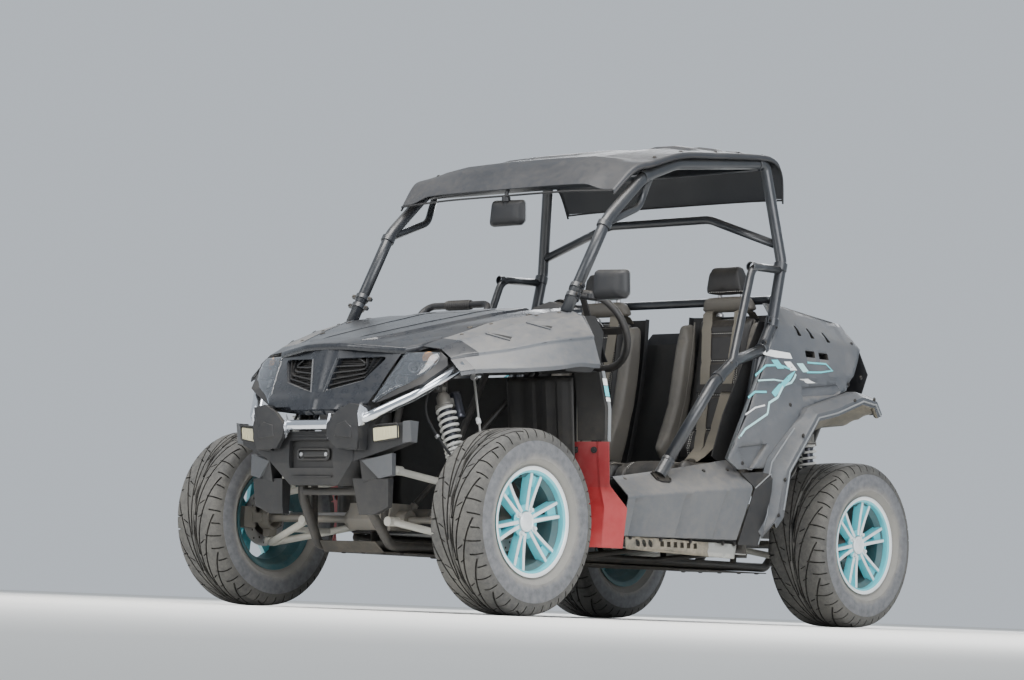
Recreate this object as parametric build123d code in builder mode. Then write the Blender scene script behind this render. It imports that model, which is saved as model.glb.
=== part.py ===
"""Two-seat open dune buggy (side-by-side class), millimetres.

+X forward, +Y to the driver's (left) side, +Z up.
Origin on the ground, midway between the axles.
"""
from build123d import *
import math
import os

os.makedirs("parts", exist_ok=True)

# ---------------------------------------------------------------- driving sizes
WHEELBASE = 2040.0
AXLE_X = WHEELBASE / 2          # front axle at +AXLE_X, rear axle at -AXLE_X
AXLE_Z = 330.0                  # axle height, also the loaded tyre radius
TYRE_R = 330.0
FRONT_TYRE_W = 229.0
REAR_TYRE_W = 279.0
FRONT_TRACK_Y = 640.5           # tyre centre plane
REAR_TRACK_Y = 615.5
SEAT_R = 180.0                  # bead seat radius of the tyre
KINGPIN_Y = 570.0               # vertical steering axis
BALL_TOP_Z = 415.0
BALL_LOW_Z = 245.0
RACK_X = 920.0
RACK_Z = 350.0
PANEL = 5.0                     # moulded panel wall
RAIL_R = 18.0                   # main frame tube radius
CAGE_R = 22.0                   # cage tube radius
BAR_R = 19.0                    # front bumper bar radius
WHEEL_C = (235.0, 330.0, 1085.0)   # steering wheel centre
WHEEL_TILT = 28.0               # steering wheel leans back by this angle
SEAT_Y = 320.0                  # seat centre plane
BED_FLOOR_Z = 882.0


# ---------------------------------------------------------------- shape helpers
def strip(line, t):
    """Closed outline of a wall t thick. Its outer face follows the (u, v) line,
    and the wall lies to the right of the direction of travel (left if t < 0)."""
    inner = []
    n = len(line)
    for i in range(n):
        normals = []
        for a, b in ((i - 1, i), (i, i + 1)):
            if a >= 0 and b < n:
                du = line[b][0] - line[a][0]
                dv = line[b][1] - line[a][1]
                size = math.hypot(du, dv)
                normals.append((dv / size, -du / size))
        nu = sum(p[0] for p in normals)
        nv = sum(p[1] for p in normals)
        size = math.hypot(nu, nv)
        nu, nv = nu / size, nv / size
        k = 1.0 / (nu * normals[0][0] + nv * normals[0][1])
        inner.append((line[i][0] + nu * t * k, line[i][1] + nv * t * k))
    return list(line) + inner[::-1]


def mirror_line(half):
    """(y, z) line from the left edge to the right edge, from its left half."""
    return list(half) + [(-y, z) for y, z in half[::-1]]


def outline(plane, pts):
    with BuildSketch(plane) as flat:
        with BuildLine():
            Polyline(*pts, close=True)
        make_face()
    return flat.sketch.face()


def loft_x(sections):
    """Ruled body through (x, [(y, z), ...]) sections."""
    loft([outline(Plane.YZ.offset(x), pts) for x, pts in sections], ruled=True)


def loft_y(sections):
    """Ruled body through (y, [(x, z), ...]) sections."""
    loft([outline(Plane.XZ.offset(-y), pts) for y, pts in sections], ruled=True)


def loft_z(sections):
    """Ruled body through (z, [(x, y), ...]) sections."""
    loft([outline(Plane.XY.offset(z), pts) for z, pts in sections], ruled=True)


def slab_y(y0, y1, pts, mode=Mode.ADD):
    """Side-view outline [(x, z), ...] carried from y0 to y1."""
    extrude(outline(Plane.XZ.offset(-y0), pts), amount=-(y1 - y0), mode=mode)


def slab_x(x0, x1, pts, mode=Mode.ADD):
    """Front-view outline [(y, z), ...] carried from x0 to x1."""
    extrude(outline(Plane.YZ.offset(x0), pts), amount=x1 - x0, mode=mode)


def slab_z(z0, z1, pts, mode=Mode.ADD):
    """Plan outline [(x, y), ...] carried from z0 to z1."""
    extrude(outline(Plane.XY.offset(z0), pts), amount=z1 - z0, mode=mode)


def box(x0, x1, y0, y1, z0, z1, mode=Mode.ADD):
    slab_z(z0, z1, [(x0, y0), (x1, y0), (x1, y1), (x0, y1)], mode)


def bar(p, q, r, mode=Mode.ADD):
    """Straight round bar from p to q."""
    a, b = Vector(*p), Vector(*q)
    with BuildSketch(Plane(origin=a, z_dir=b - a)) as flat:
        Circle(r)
    extrude(flat.sketch, amount=(b - a).length, mode=mode)


def tube(points, r, bend, mode=Mode.ADD):
    """Round tube along straight runs joined by bends."""
    with BuildLine() as path:
        FilletPolyline(*points, radius=bend)
    with BuildSketch(Plane(origin=path.line @ 0, z_dir=path.line % 0)) as flat:
        Circle(r)
    sweep(flat.sketch, path=path.line, mode=mode)


def finish(builder, name):
    builder.part.label = name
    export_step(builder.part, "parts/" + name + ".step")
    print(name, len(builder.part.solids()), round(builder.part.volume))


# ---------------------------------------------------------------- chassis frame
# one long tube down each side: B-post foot, bed rail, rear drop, floor rail,
# front rise, hood rail
SIDE_TUBE = [(-400, 585, 520), (-655, 549, 850), (-1120, 430, 850),
             (-1225, 270, 660), (-1205, 180, 330), (-1110, 180, 232),
             (1150, 180, 232), (1272, 150, 400), (1272, 160, 640),
             (1180, 262, 850), (760, 440, 975), (690, 505, 985),
             (652, 505, 985)]

with BuildPart() as chassis_frame:
    for s in (1, -1):
        side = [(x, s * y, z) for x, y, z in SIDE_TUBE]
        tube(side, RAIL_R, 45)
        bar((-400, s * 585, 258), (-400, s * 585, 636), 20)
        bar((-400, s * 585, 278), (540, s * 585, 278), 14)
    # cross tubes: x, y half length, z, radius
    for x, y, z, r in ((-1205, 180, 330, 16), (-1080, 180, 232, 16),
                       (-560, 180, 232, 14), (1120, 180, 232, 16),
                       (1272, 151, 420, 14), (1272, 159, 620, 14),
                       (1180, 262, 850, 16), (760, 440, 975, 16),
                       (-700, 537, 850, 16), (-1100, 435, 850, 16)):
        bar((x, -y, z), (x, y, z), r)
    # outriggers to the side rails
    for x in (520, 80, -360):
        for s in (1, -1):
            bar((x, s * 176, 237), (x, s * 583, 278), 11)
    # bulkhead hoops that carry the front arms
    for x, z, top in ((857, 232, (383, 948)), (1183, 284, (260, 846))):
        for s in (1, -1):
            tube([(x, s * (180 if z < 250 else 174), z), (x, s * 188, 560),
                  (x, s * top[0], top[1])], 13, 60)
    # rear uprights that carry the rear arms
    for x in (-890, -1150):
        for s in (1, -1):
            tube([(x, s * 180, 232 if x > -1000 else 276), (x, s * 195, 520),
                  (x, s * (446 if x > -1000 else 380),
                   850 if x > -1000 else 800)], 13, 60)
    # shock towers: two cheek plates each
    for x0, x1 in ((1063, 1068), (1092, 1097)):
        for s in (1, -1):
            slab_x(x0, x1, [(s * 285, 885), (s * 345, 870), (s * 348, 785),
                            (s * 312, 785)])
    for x0, x1 in ((-1098, -1093), (-1069, -1064)):
        for s in (1, -1):
            slab_x(x0, x1, [(s * 380, 800), (s * 416, 800), (s * 440, 850),
                            (s * 415, 850)])
finish(chassis_frame, "chassis_frame")

# ---------------------------------------------------------------- underside
with BuildPart() as skid_plate:
    slab_y(-205, 205, strip([(-1090, 207), (1150, 207), (1188, 244)], -4))
    # the nose of the plate narrows to the front
    for s in (1, -1):
        slab_z(190, 440, [(1060, s * 206), (1240, s * 206), (1240, s * 120),
                          (1150, s * 150)], Mode.SUBTRACT)
finish(skid_plate, "skid_plate")

TILT = math.radians(WHEEL_TILT)
COLUMN = Vector(math.cos(TILT), 0, -math.sin(TILT))   # down the steering column


def on_column(d):
    return (WHEEL_C[0] + COLUMN.X * d, WHEEL_C[1], WHEEL_C[2] + COLUMN.Z * d)


PINION = (899, 60, 396)           # lower end of the steering shaft
FLOOR = [(622, 880), (606, 430), (560, 300), (-90, 300), (-110, 425), (-565, 425)]
with BuildPart() as floor_pan:
    slab_y(-582, 582, strip(FLOOR[:4], -PANEL))
    slab_y(-538, 538, strip(FLOOR, -PANEL))
    for s in (1, -1):
        slab_y(s * 577, s * 587, [(557, 296), (-93, 296), (-93, 590),
                                  (430, 512), (585, 512), (602, 460)])
        slab_y(s * 534, s * 543, [(-91, 297), (-558, 297), (-558, 423),
                                  (-112, 423)])
        slab_x(-96, -89, [(s * 534, 295), (s * 588, 295), (s * 588, 592),
                          (s * 534, 592)])
    bar(on_column(370), PINION, 20, Mode.SUBTRACT)
finish(floor_pan, "floor_pan")

# ---------------------------------------------------------------- front end
BAR_PATH = [(1158, -508, 872), (1290, -388, 754), (1398, -290, 678),
            (1403, -200, 650), (1403, 200, 650), (1398, 290, 678),
            (1290, 388, 754), (1158, 508, 872)]
with BuildPart() as bumper_bar:
    tube(BAR_PATH, BAR_R, 90)
finish(bumper_bar, "bumper_bar")

with BuildPart() as bar_room:
    tube(BAR_PATH, BAR_R + 0.4, 90)

with BuildPart() as bumper_cover:
    # z, [(x, y)] centre moulding, narrower towards the ground
    loft_z([(438, [(1316, -150), (1372, -120), (1372, 120), (1316, 150)]),
            (520, [(1306, -235), (1392, -205), (1392, 205), (1306, 235)]),
            (628, [(1306, -240), (1392, -210), (1392, 210), (1306, 240)])])
    # wings that carry the lamps
    for s in (1, -1):
        loft_y([(s * 200, [(1300, 628), (1392, 628), (1386, 520), (1306, 520)]),
                (s * 432, [(1302, 662), (1345, 664), (1334, 594), (1304, 592)])])
        # lower winglets
        loft_y([(s * 225, [(1308, 528), (1374, 528), (1356, 450), (1308, 450)]),
                (s * 350, [(1322, 548), (1340, 548), (1336, 478),
                           (1322, 478)])])
        # lower side ducts
        loft_z([(z, [(x, s * y) for x, y in pts]) for z, pts in (
            (336, [(1300, 190), (1330, 190), (1330, 262), (1306, 262)]),
            (364, [(1300, 190), (1338, 188), (1334, 334), (1316, 336)]),
            (462, [(1306, 180), (1356, 176), (1344, 338), (1318, 340)]))])
    # upright horns that clamp the bar
    for s in (1, -1):
        slab_y(s * 188, s * 262, [(1380, 560), (1410, 560), (1432, 632),
                                  (1424, 714), (1407, 718), (1405, 684),
                                  (1376, 676)])
    # recess for the fairlead
    box(1368, 1440, -110, 110, 498, 596, Mode.SUBTRACT)
    for y in (-61.9, 61.9):
        bar((1330, y, 547), (1372, y, 547), 5, Mode.SUBTRACT)
    add(bar_room.part, mode=Mode.SUBTRACT)
finish(bumper_cover, "bumper_cover")

with BuildPart() as bumper_lamps:
    for s in (1, -1):
        loft_y([(s * 292, [(1374, 640), (1384, 636), (1378, 592), (1368, 592)]),
                (s * 388, [(1356, 648), (1366, 646), (1360, 606), (1350, 606)])])
    add(bumper_cover.part, mode=Mode.SUBTRACT)
finish(bumper_lamps, "bumper_lamps")

with BuildPart() as nose_panel:
    # y, outer line from the top edge to the chin; swept back at the sides
    nose = [(-305, [(1252, 919), (1362, 727), (1343, 715)]),
            (-60, [(1330, 938), (1392, 700), (1372, 687)]),
            (60, [(1330, 938), (1392, 700), (1372, 687)]),
            (305, [(1252, 919), (1362, 727), (1343, 715)])]
    loft_y([(y, strip(line, PANEL)) for y, line in nose])
    for s in (1, -1):
        # side edge that follows the lamp, then the grille opening
        slab_x(1200, 1440, [(s * 307, 945), (s * 249, 721), (s * 241, 660),
                            (s * 330, 660), (s * 330, 945)], Mode.SUBTRACT)
        slab_x(1200, 1440, [(s * 62, 892), (s * 256, 900), (s * 190, 812),
                            (s * 34, 772)], Mode.SUBTRACT)
finish(nose_panel, "nose_panel")

with BuildPart() as grille_insets:
    for s in (1, -1):
        loft_y([(s * 26, strip([(1318, 905), (1362, 745)], 4)),
                (s * 272, strip([(1246, 903), (1312, 790)], 4))])
finish(grille_insets, "grille_insets")

with BuildPart() as headlamps:
    # z, [(x, y)] front inner, front outer, rear outer, rear inner
    lamp = [(728, [(1360, 255), (1350, 272), (1330, 272), (1330, 256)]),
            (775, [(1334, 268), (1312, 378), (1262, 378), (1262, 270)]),
            (798, [(1320, 275), (1290, 432), (1250, 432), (1250, 277)]),
            (868, [(1279, 294), (1207, 476), (1200.5, 476), (1222, 296)]),
            (896, [(1262, 302), (1204, 470), (1200.5, 468), (1215, 304)]),
            (917, [(1246, 311), (1204, 440), (1200.5, 438), (1206, 313)])]
    for s in (1, -1):
        loft_z([(z, [(x, s * y) for x, y in pts]) for z, pts in lamp])
    add(bar_room.part, mode=Mode.SUBTRACT)
finish(headlamps, "headlamps")

# cage side path, used here to cut clearance holes too
CAGE_SIDE = [(655, 542, 1108), (450, 550, 1475), (245, 556, 1663),
             (60, 560, 1735), (-440, 560, 1803), (-508, 561, 1812),
             (-562, 618, 1420), (-508, 620, 1180), (-446, 612, 1058),
             (-400, 585, 760), (-400, 585, 640)]
CAGE_BENDS = [250, 250, 250, 400, 55, 120, 120, 120, 200, 90]


def cage_side(s, r):
    pts = [(x, s * y, z) for x, y, z in CAGE_SIDE]
    runs = [math.dist(pts[i], pts[i + 1]) for i in range(len(pts) - 1)]
    bends = []
    for i in range(1, len(pts) - 1):
        a = Vector(*pts[i]) - Vector(*pts[i - 1])
        b = Vector(*pts[i + 1]) - Vector(*pts[i])
        half = math.radians(a.get_angle(b)) / 2
        room = 0.45 * min(runs[i - 1], runs[i]) / math.tan(half)
        bends.append(min(room, CAGE_BENDS[i - 1]))
    with BuildLine() as path:
        FilletPolyline(*pts, radius=bends)
    with BuildSketch(Plane(origin=path.line @ 0, z_dir=path.line % 0)) as flat:
        Circle(r)
    sweep(flat.sketch, path=path.line)


with BuildPart() as cage_room:
    for s in (1, -1):
        cage_side(s, CAGE_R + 3)
with BuildPart() as cage_touch:
    for s in (1, -1):
        cage_side(s, CAGE_R + 0.4)

with BuildPart() as hood:
    # x, left half of the (y, z) top line
    loft_x([(x, strip(mirror_line(half), -PANEL)) for x, half in (
        (1330, [(-120, 943), (-90, 945), (-60, 948)]),
        (1252, [(-306, 928), (-225, 954), (-165, 976)]),
        (1150, [(-345, 961), (-235, 985), (-190, 1002)]),
        (1050, [(-380, 1000), (-275, 1014), (-205, 1027)]),
        (932, [(-397, 1046), (-300, 1048), (-222, 1055)]),
        (800, [(-462, 1081), (-330, 1082), (-235, 1088)]),
        (700, [(-506, 1107), (-400, 1110), (-250, 1114)]),
        (560, [(-543, 1131), (-430, 1135), (-270, 1143)]))])
    add(cage_room.part, mode=Mode.SUBTRACT)
finish(hood, "hood")

# x, (y, z) from the inner top edge, over the crease, down to the outer lip
FENDER = [(1196, [(338, 942), (425, 925), (478, 894), (524, 848), (528, 832)]),
          (1154, [(348, 962), (430, 945), (502, 910), (556, 858), (560, 843)]),
          (1095, [(371, 984), (455, 968), (552, 924), (604, 865), (608, 850)]),
          (1010, [(393, 1016), (485, 998), (604, 943), (678, 873), (682, 858)]),
          (900, [(417, 1057), (510, 1036), (658, 974), (724, 889), (728, 874)]),
          (800, [(467, 1083), (560, 1060), (694, 994), (742, 908), (745, 893)]),
          (700, [(511, 1108), (600, 1080), (706, 1010), (747, 912), (749, 896)]),
          (625, [(535, 1124), (625, 1092), (706, 1018), (738, 936), (740, 918)])]
with BuildPart() as front_fender_left:
    loft_x([(x, strip(line, PANEL)) for x, line in FENDER])
    # raked rear edge
    slab_z(850, 1180, [(600, 480), (638, 480), (650, 610), (699, 765),
                       (600, 765)], Mode.SUBTRACT)
    add(cage_room.part, mode=Mode.SUBTRACT)
    add(bar_room.part, mode=Mode.SUBTRACT)
finish(front_fender_left, "front_fender_left")

with BuildPart() as front_fender_right:
    add(mirror(front_fender_left.part, about=Plane.XZ, mode=Mode.PRIVATE))
finish(front_fender_right, "front_fender_right")

with BuildPart() as wheel_well_liners:
    for s in (1, -1):
        loft_z([(z, [(x, s * y) for x, y in strip(line, 4)]) for z, line in (
            (306, [(636, 596), (644, 500), (634, 400), (642, 295)]),
            (560, [(640, 596), (652, 500), (640, 400), (652, 295)]),
            (868, [(668, 596), (690, 500), (676, 400), (690, 295)]))])
finish(wheel_well_liners, "wheel_well_liners")

with BuildPart() as front_side_panels:
    for s in (1, -1):
        loft_z([(z, [(x, s * y) for x, y in strip(line, -4)]) for z, line in (
            (642, [(630, 600), (612, 712), (590, 717)]),
            (760, [(640, 600), (630, 724), (607, 729)]),
            (884, [(664, 600), (688, 736), (665, 741)]))])
finish(front_side_panels, "front_side_panels")

with BuildPart() as mud_guards:
    for s in (1, -1):
        loft_z([(z, [(x, s * y) for x, y in strip(line, -4)]) for z, line in (
            (257, [(622, 625), (585, 690), (500, 722)]),
            (404, [(622, 575), (590, 700), (508, 744)]),
            (480, [(624, 565), (606, 690), (596, 728)]),
            (638, [(626, 565), (614, 680), (604, 726)]))])
finish(mud_guards, "mud_guards")

# ---------------------------------------------------------------- sides
with BuildPart() as rocker_panels:
    for s in (1, -1):
        loft_x([(x, [(s * y, z) for y, z in strip(line, PANEL)])
                for x, line in (
            (492, [(598, 518), (622, 522), (735, 447), (702, 305)]),
            (-280, [(598, 622), (622, 624), (722, 524), (702, 318)]))])
    slab_y(-800, 800, [(440, 540), (492, 452), (490, 300), (-205, 300),
                       (-280, 520), (-228, 640), (440, 640)], Mode.INTERSECT)
finish(rocker_panels, "rocker_panels")

with BuildPart() as side_steps:
    for s in (1, -1):
        box(-290, 430, s * 600, s * 690, 264, 267)
        box(-290, 430, s * 606, s * 609, 264, 296)
        for i in range(9):
            x = -200 + 60 * i
            box(x, x + 34, s * 630, s * 645, 260, 270, Mode.SUBTRACT)
            box(x + 30, x + 64, s * 656, s * 671, 260, 270, Mode.SUBTRACT)
finish(side_steps, "side_steps")

# ---------------------------------------------------------------- cage and roof
with BuildPart() as cage_left:
    cage_side(1, CAGE_R)
    tube([(449, 550, 1462), (250, 538, 1545), (196, 548, 1672)], 14, 60)
finish(cage_left, "cage_left")

with BuildPart() as cage_right:
    add(mirror(cage_left.part, about=Plane.XZ, mode=Mode.PRIVATE))
finish(cage_right, "cage_right")

with BuildPart() as cage_cross_tubes:
    bar((250, -557, 1655), (250, 557, 1655), 17)
    bar((-470, -560, 1796), (-470, 560, 1796), 17)
    tube([(-552, -606, 1490), (-556, -260, 1612), (-556, 260, 1612),
          (-552, 606, 1490)], 17, 150)
    tube([(-535, -619, 1290), (-668, -500, 1290), (-668, 500, 1290),
          (-535, 619, 1290)], 17, 60)
    add(cage_touch.part, mode=Mode.SUBTRACT)
finish(cage_cross_tubes, "cage_cross_tubes")

with BuildPart() as side_bars:
    for s in (1, -1):
        tube([(-452, s * 618, 1068), (-215, s * 664, 1005), (-62, s * 680, 905),
              (176, s * 655, 586)], CAGE_R, 90)
        tube([(-560, s * 620, 1392), (-335, s * 645, 1382),
              (-196, s * 668, 1000)], 16, 60)
    add(cage_touch.part, mode=Mode.SUBTRACT)
finish(side_bars, "side_bars")

# x, left half of the (y, z) top line of the roof
ROOF = [(402, [(-540, 1596), (-300, 1604)]),
        (312, [(-566, 1692), (-310, 1724)]),
        (230, [(-588, 1722), (-330, 1756)]),
        (60, [(-590, 1776), (-400, 1797)]),
        (-160, [(-590, 1806), (-420, 1837)]),
        (-440, [(-590, 1838), (-420, 1853)]),
        (-540, [(-587, 1836), (-410, 1851)]),
        (-604, [(-575, 1796), (-400, 1812)]),
        (-642, [(-556, 1690), (-380, 1692)])]
with BuildPart() as roof:
    loft_x([(x, strip(mirror_line(half), -PANEL)) for x, half in ROOF])
    add(cage_touch.part, mode=Mode.SUBTRACT)
finish(roof, "roof")

# ---------------------------------------------------------------- cabin
with BuildPart() as dashboard:
    dash = [(604, 1084), (548, 1108), (440, 1118), (388, 1060), (402, 950),
            (455, 905), (600, 900)]
    slab_y(-505, 505, strip(dash, -6))
    for y0, y1 in ((-505, -499), (499, 505), (-3, 3)):
        slab_y(y0, y1, dash)
    # hooded instrument pod in front of the driver
    loft_y([(250, [(520, 1106), (444, 1113), (420, 1150), (500, 1150)]),
            (330, [(520, 1106), (444, 1113), (414, 1178), (500, 1172)]),
            (410, [(520, 1106), (444, 1113), (420, 1150), (500, 1150)])])
    bar(on_column(120), on_column(420), 27, Mode.SUBTRACT)
finish(dashboard, "dashboard")

with BuildPart() as steering_column:
    bar(on_column(70), on_column(385), 24)
    bar(on_column(60), on_column(300), 11, Mode.SUBTRACT)
    bar(on_column(372), PINION, 10)
finish(steering_column, "steering_column")

wheel_plane = Plane(origin=WHEEL_C, x_dir=(0, 1, 0), z_dir=-COLUMN)
with BuildPart() as steering_wheel:
    with BuildSketch(Plane(origin=Vector(*WHEEL_C) + Vector(0, 155, 0),
                           z_dir=Vector(math.sin(TILT), 0, math.cos(TILT)))):
        Circle(14)
    revolve(axis=Axis(WHEEL_C, COLUMN))
    # three flat spokes and the boss
    with BuildSketch(wheel_plane.offset(-10)):
        for a in (0, 180, 270):
            with Locations(Location((0, 0, 0), a)):
                with Locations((75, 0)):
                    Rectangle(150, 26)
    extrude(amount=8)
    bar(on_column(-14), on_column(50), 36)
    bar(on_column(50), on_column(280), 9.5)
finish(steering_wheel, "steering_wheel")

with BuildPart() as grab_handle:
    tube([(408, -130, 1092), (306, -130, 1200), (306, -470, 1200),
          (408, -470, 1092)], 14, 45)
    add(dashboard.part, mode=Mode.SUBTRACT)
finish(grab_handle, "grab_handle")

SEAT_SIDE = [(-80, 470), (-60, 560), (-80, 602), (-130, 618), (-300, 590),
             (-430, 572), (-480, 640), (-560, 900), (-592, 1100), (-596, 1240),
             (-566, 1300), (-560, 1400), (-585, 1438), (-628, 1440),
             (-655, 1400), (-664, 1290), (-656, 1100), (-630, 900),
             (-560, 590), (-520, 470), (-480, 436), (-120, 436)]
for name, y in (("driver_seat", SEAT_Y), ("passenger_seat", -SEAT_Y)):
    with BuildPart() as seat:
        slab_y(y - 150, y + 150, SEAT_SIDE)
        # side bolsters
        for s in (1, -1):
            slab_y(y + s * 150, y + s * 205, [
                (-90, 440), (-70, 560), (-100, 628), (-300, 640), (-400, 660),
                (-470, 860), (-520, 1100), (-560, 1210), (-640, 1210),
                (-640, 1060), (-610, 860), (-545, 600), (-510, 460),
                (-480, 440)])
        # the head-rest is narrower than the back
        for s in (1, -1):
            slab_y(y + s * 105, y + s * 151, [
                (-500, 1300), (-500, 1460), (-720, 1460), (-720, 1300)],
                Mode.SUBTRACT)
        # room for the shoulder bar and the cage side of the seat
        add(cage_cross_tubes.part, mode=Mode.SUBTRACT)
    finish(seat, name)

# ---------------------------------------------------------------- rear body
PANEL_OUTLINE = [(-545, 1290), (-545, 1190), (-480, 1085), (-150, 624),
                 (-215, 585), (-425, 604), (-640, 838), (-965, 946),
                 (-1148, 1130), (-1128, 1290)]
with BuildPart() as rear_panel_left:
    loft_x([(x, strip(line, PANEL)) for x, line in (
        (-100, [(560, 1264), (622, 1180), (655, 1000), (686, 800), (694, 560)]),
        (-620, [(560, 1264), (622, 1172), (657, 1000), (694, 830), (700, 560)]),
        (-1150, [(497, 1236), (592, 1135), (642, 1030), (682, 930),
                 (690, 560)]))])
    slab_y(400, 800, PANEL_OUTLINE, Mode.INTERSECT)
    # cooling slots: three slanted ones on top, two level ones below
    for x, z in ((-682, 1165), (-779, 1163), (-900, 1158)):
        slab_y(560, 700, [(x + 16, z + 20), (x + 2, z + 20), (x - 26, z - 20),
                          (x + 2, z - 20)], Mode.SUBTRACT)
    for x in (-748, -845):
        slab_y(560, 700, [(x + 34, 1088), (x - 34, 1090), (x - 34, 1064),
                          (x + 34, 1062)], Mode.SUBTRACT)
    add(cage_room.part, mode=Mode.SUBTRACT)
finish(rear_panel_left, "rear_panel_left")

with BuildPart() as rear_panel_right:
    add(mirror(rear_panel_left.part, about=Plane.XZ, mode=Mode.PRIVATE))
finish(rear_panel_right, "rear_panel_right")

with BuildPart() as cabin_rear_trims:
    for s in (1, -1):
        slab_y(s * 545, s * 549, [(-556, 1190), (-520, 1190), (-300, 800),
                                  (-240, 640), (-320, 600), (-372, 600),
                                  (-440, 700), (-556, 760)])
finish(cabin_rear_trims, "cabin_rear_trims")

FLARE = [(-384, 392), (-424, 428), (-462, 600), (-653, 828), (-960, 917),
         (-1060, 907), (-1096, 860)]
FLARE_IN = [(-372, 318), (-404, 408), (-436, 612), (-634, 852), (-956, 940),
            (-1066, 928), (-1112, 860)]
with BuildPart() as rear_fenders:
    for s in (1, -1):
        loft_y([(s * 708, strip(FLARE_IN, -PANEL)),
                (s * 750, strip(FLARE, -PANEL))])
        # folded lip on the outer edge
        slab_y(s * 745, s * 750, strip(FLARE, -26))
        # wheel-well wall behind the flare
        loft_y([(s * 552, strip([(-488, 410), (-520, 600), (-750, 745),
                                 (-960, 800), (-1110, 818)], -4)),
                (s * 708, strip([(-437, 410), (-462, 600), (-648, 822),
                                 (-958, 902), (-1094, 868)], -4))])
finish(rear_fenders, "rear_fenders")

with BuildPart() as rocker_tails:
    for s in (1, -1):
        loft_x([(x, [(s * y, z) for y, z in strip(line, 4)]) for x, line in (
            (-212, [(660, 640), (716, 520), (700, 300)]),
            (-300, [(664, 640), (722, 520), (704, 300)]),
            (-400, [(668, 640), (726, 560), (706, 300)]))])
    slab_y(-800, 800, [(-240, 575), (-294, 520), (-222, 300), (-350, 300),
                       (-386, 420), (-412, 590)], Mode.INTERSECT)
finish(rocker_tails, "rocker_tails")

with BuildPart() as cargo_bed:
    box(-1126, -730, -484, 484, 876, 1106)
    box(-1120, -736, -478, 478, BED_FLOOR_Z, 1200, Mode.SUBTRACT)
    # rim flanges
    for s in (1, -1):
        box(-1126, -730, s * 484, s * 545, 1101, 1106)
finish(cargo_bed, "cargo_bed")

with BuildPart() as tail_panel:
    slab_x(-1160, -1155, mirror_line([(-490, 1228), (-586, 1130), (-634, 1028),
                                      (-600, 930), (-300, 905)]))
    for y in (430, -430):
        bar((-1170, y, 1050), (-1140, y, 1050), 56, Mode.SUBTRACT)
finish(tail_panel, "tail_panel")

with BuildPart() as tail_lamps:
    for y in (430, -430):
        bar((-1176, y, 1050), (-1136, y, 1050), 54)
finish(tail_lamps, "tail_lamps")

with BuildPart() as rear_firewall:
    slab_y(-435, 435, strip([(-588, 432), (-600, 620), (-712, 1130)], 4))
finish(rear_firewall, "rear_firewall")

with BuildPart() as rear_bumper:
    tube([(-1246, 262, 560), (-1405, 262, 560), (-1405, -262, 560),
          (-1246, -262, 560)], BAR_R - 2, 50)
    bar((-1398, 0, 556), (-1345, 0, 396), 11)
    # hitch tongue
    box(-1434, -1228, -30, 30, 392, 400)
    box(-1380, -1228, -25, 25, 360, 392)
    bar((-1405, 0, 380), (-1405, 0, 402), 10, Mode.SUBTRACT)
finish(rear_bumper, "rear_bumper")

# ---------------------------------------------------------------- drive train
with BuildPart() as engine_block:
    slab_y(-160, 160, [(-640, 300), (-940, 300), (-950, 560), (-900, 780),
                       (-690, 800), (-650, 620)])
finish(engine_block, "engine_block")

with BuildPart() as muffler:
    bar((-1300, -190, 700), (-1300, 190, 700), 78)
    bar((-1300, -120, 700), (-1160, -120, 640), 22)
    bar((-1360, 120, 690), (-1412, 120, 684), 20)
    bar((-1376, 120, 688), (-1420, 120, 683), 16, Mode.SUBTRACT)
finish(muffler, "muffler")

with BuildPart() as drive_units:
    slab_y(-105, 105, [(966, 290), (1074, 290), (1086, 330), (1070, 388),
                       (970, 388), (955, 330)])
    slab_y(-105, 105, [(-1085, 270), (-962, 270), (-950, 330), (-965, 400),
                       (-1080, 400), (-1095, 330)])
    for x in (AXLE_X, -AXLE_X):
        for s in (1, -1):
            bar((x, s * 105, AXLE_Z), (x, s * 150, AXLE_Z), 34)
            bar((x, s * 150, AXLE_Z), (x, s * (KINGPIN_Y - 12), AXLE_Z), 13)
    # ball ends of the steered half shafts sit on the steering axes
    for s in (1, -1):
        with BuildSketch(Plane.XY.offset(AXLE_Z)):
            with BuildLine():
                Line((AXLE_X, s * KINGPIN_Y - 18), (AXLE_X, s * KINGPIN_Y + 18))
                ThreePointArc((AXLE_X, s * KINGPIN_Y + 18),
                              (AXLE_X + 18, s * KINGPIN_Y),
                              (AXLE_X, s * KINGPIN_Y - 18))
            make_face()
        revolve(axis=Axis((AXLE_X, s * KINGPIN_Y, AXLE_Z), (0, 1, 0)))
    # rack housing
    bar((RACK_X, -165, RACK_Z), (RACK_X, 165, RACK_Z), 24)
    box(RACK_X, 966, -40, 40, 325, 372)
    bar((901, 59.5, 391), (917, 55, 358), 15)
    bar((RACK_X, -170, RACK_Z), (RACK_X, 170, RACK_Z), 12, Mode.SUBTRACT)
finish(drive_units, "drive_units")

# ---------------------------------------------------------------- suspension
def wishbone(x, z_out, z_tube, inner, r):
    """Ball eye at the upright and two legs to pivots: inner = (dx, y, z)."""
    for s in (1, -1):
        dx, y, z = inner
        bar((x, s * KINGPIN_Y, z_out - 12), (x, s * KINGPIN_Y, z_out + 12), 20)
        for k in (1, -1):
            bar((x + k * 5, s * (KINGPIN_Y - 12), z_tube),
                (x + k * dx, s * y, z), r)
            bar((x + k * dx - 26, s * y, z), (x + k * dx + 26, s * y, z), 17)
        bar((x + dx * 0.62, s * (KINGPIN_Y - (KINGPIN_Y - y) * 0.62),
             z_tube + (z - z_tube) * 0.62),
            (x - dx * 0.62, s * (KINGPIN_Y - (KINGPIN_Y - y) * 0.62),
             z_tube + (z - z_tube) * 0.62), r - 2)


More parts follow.
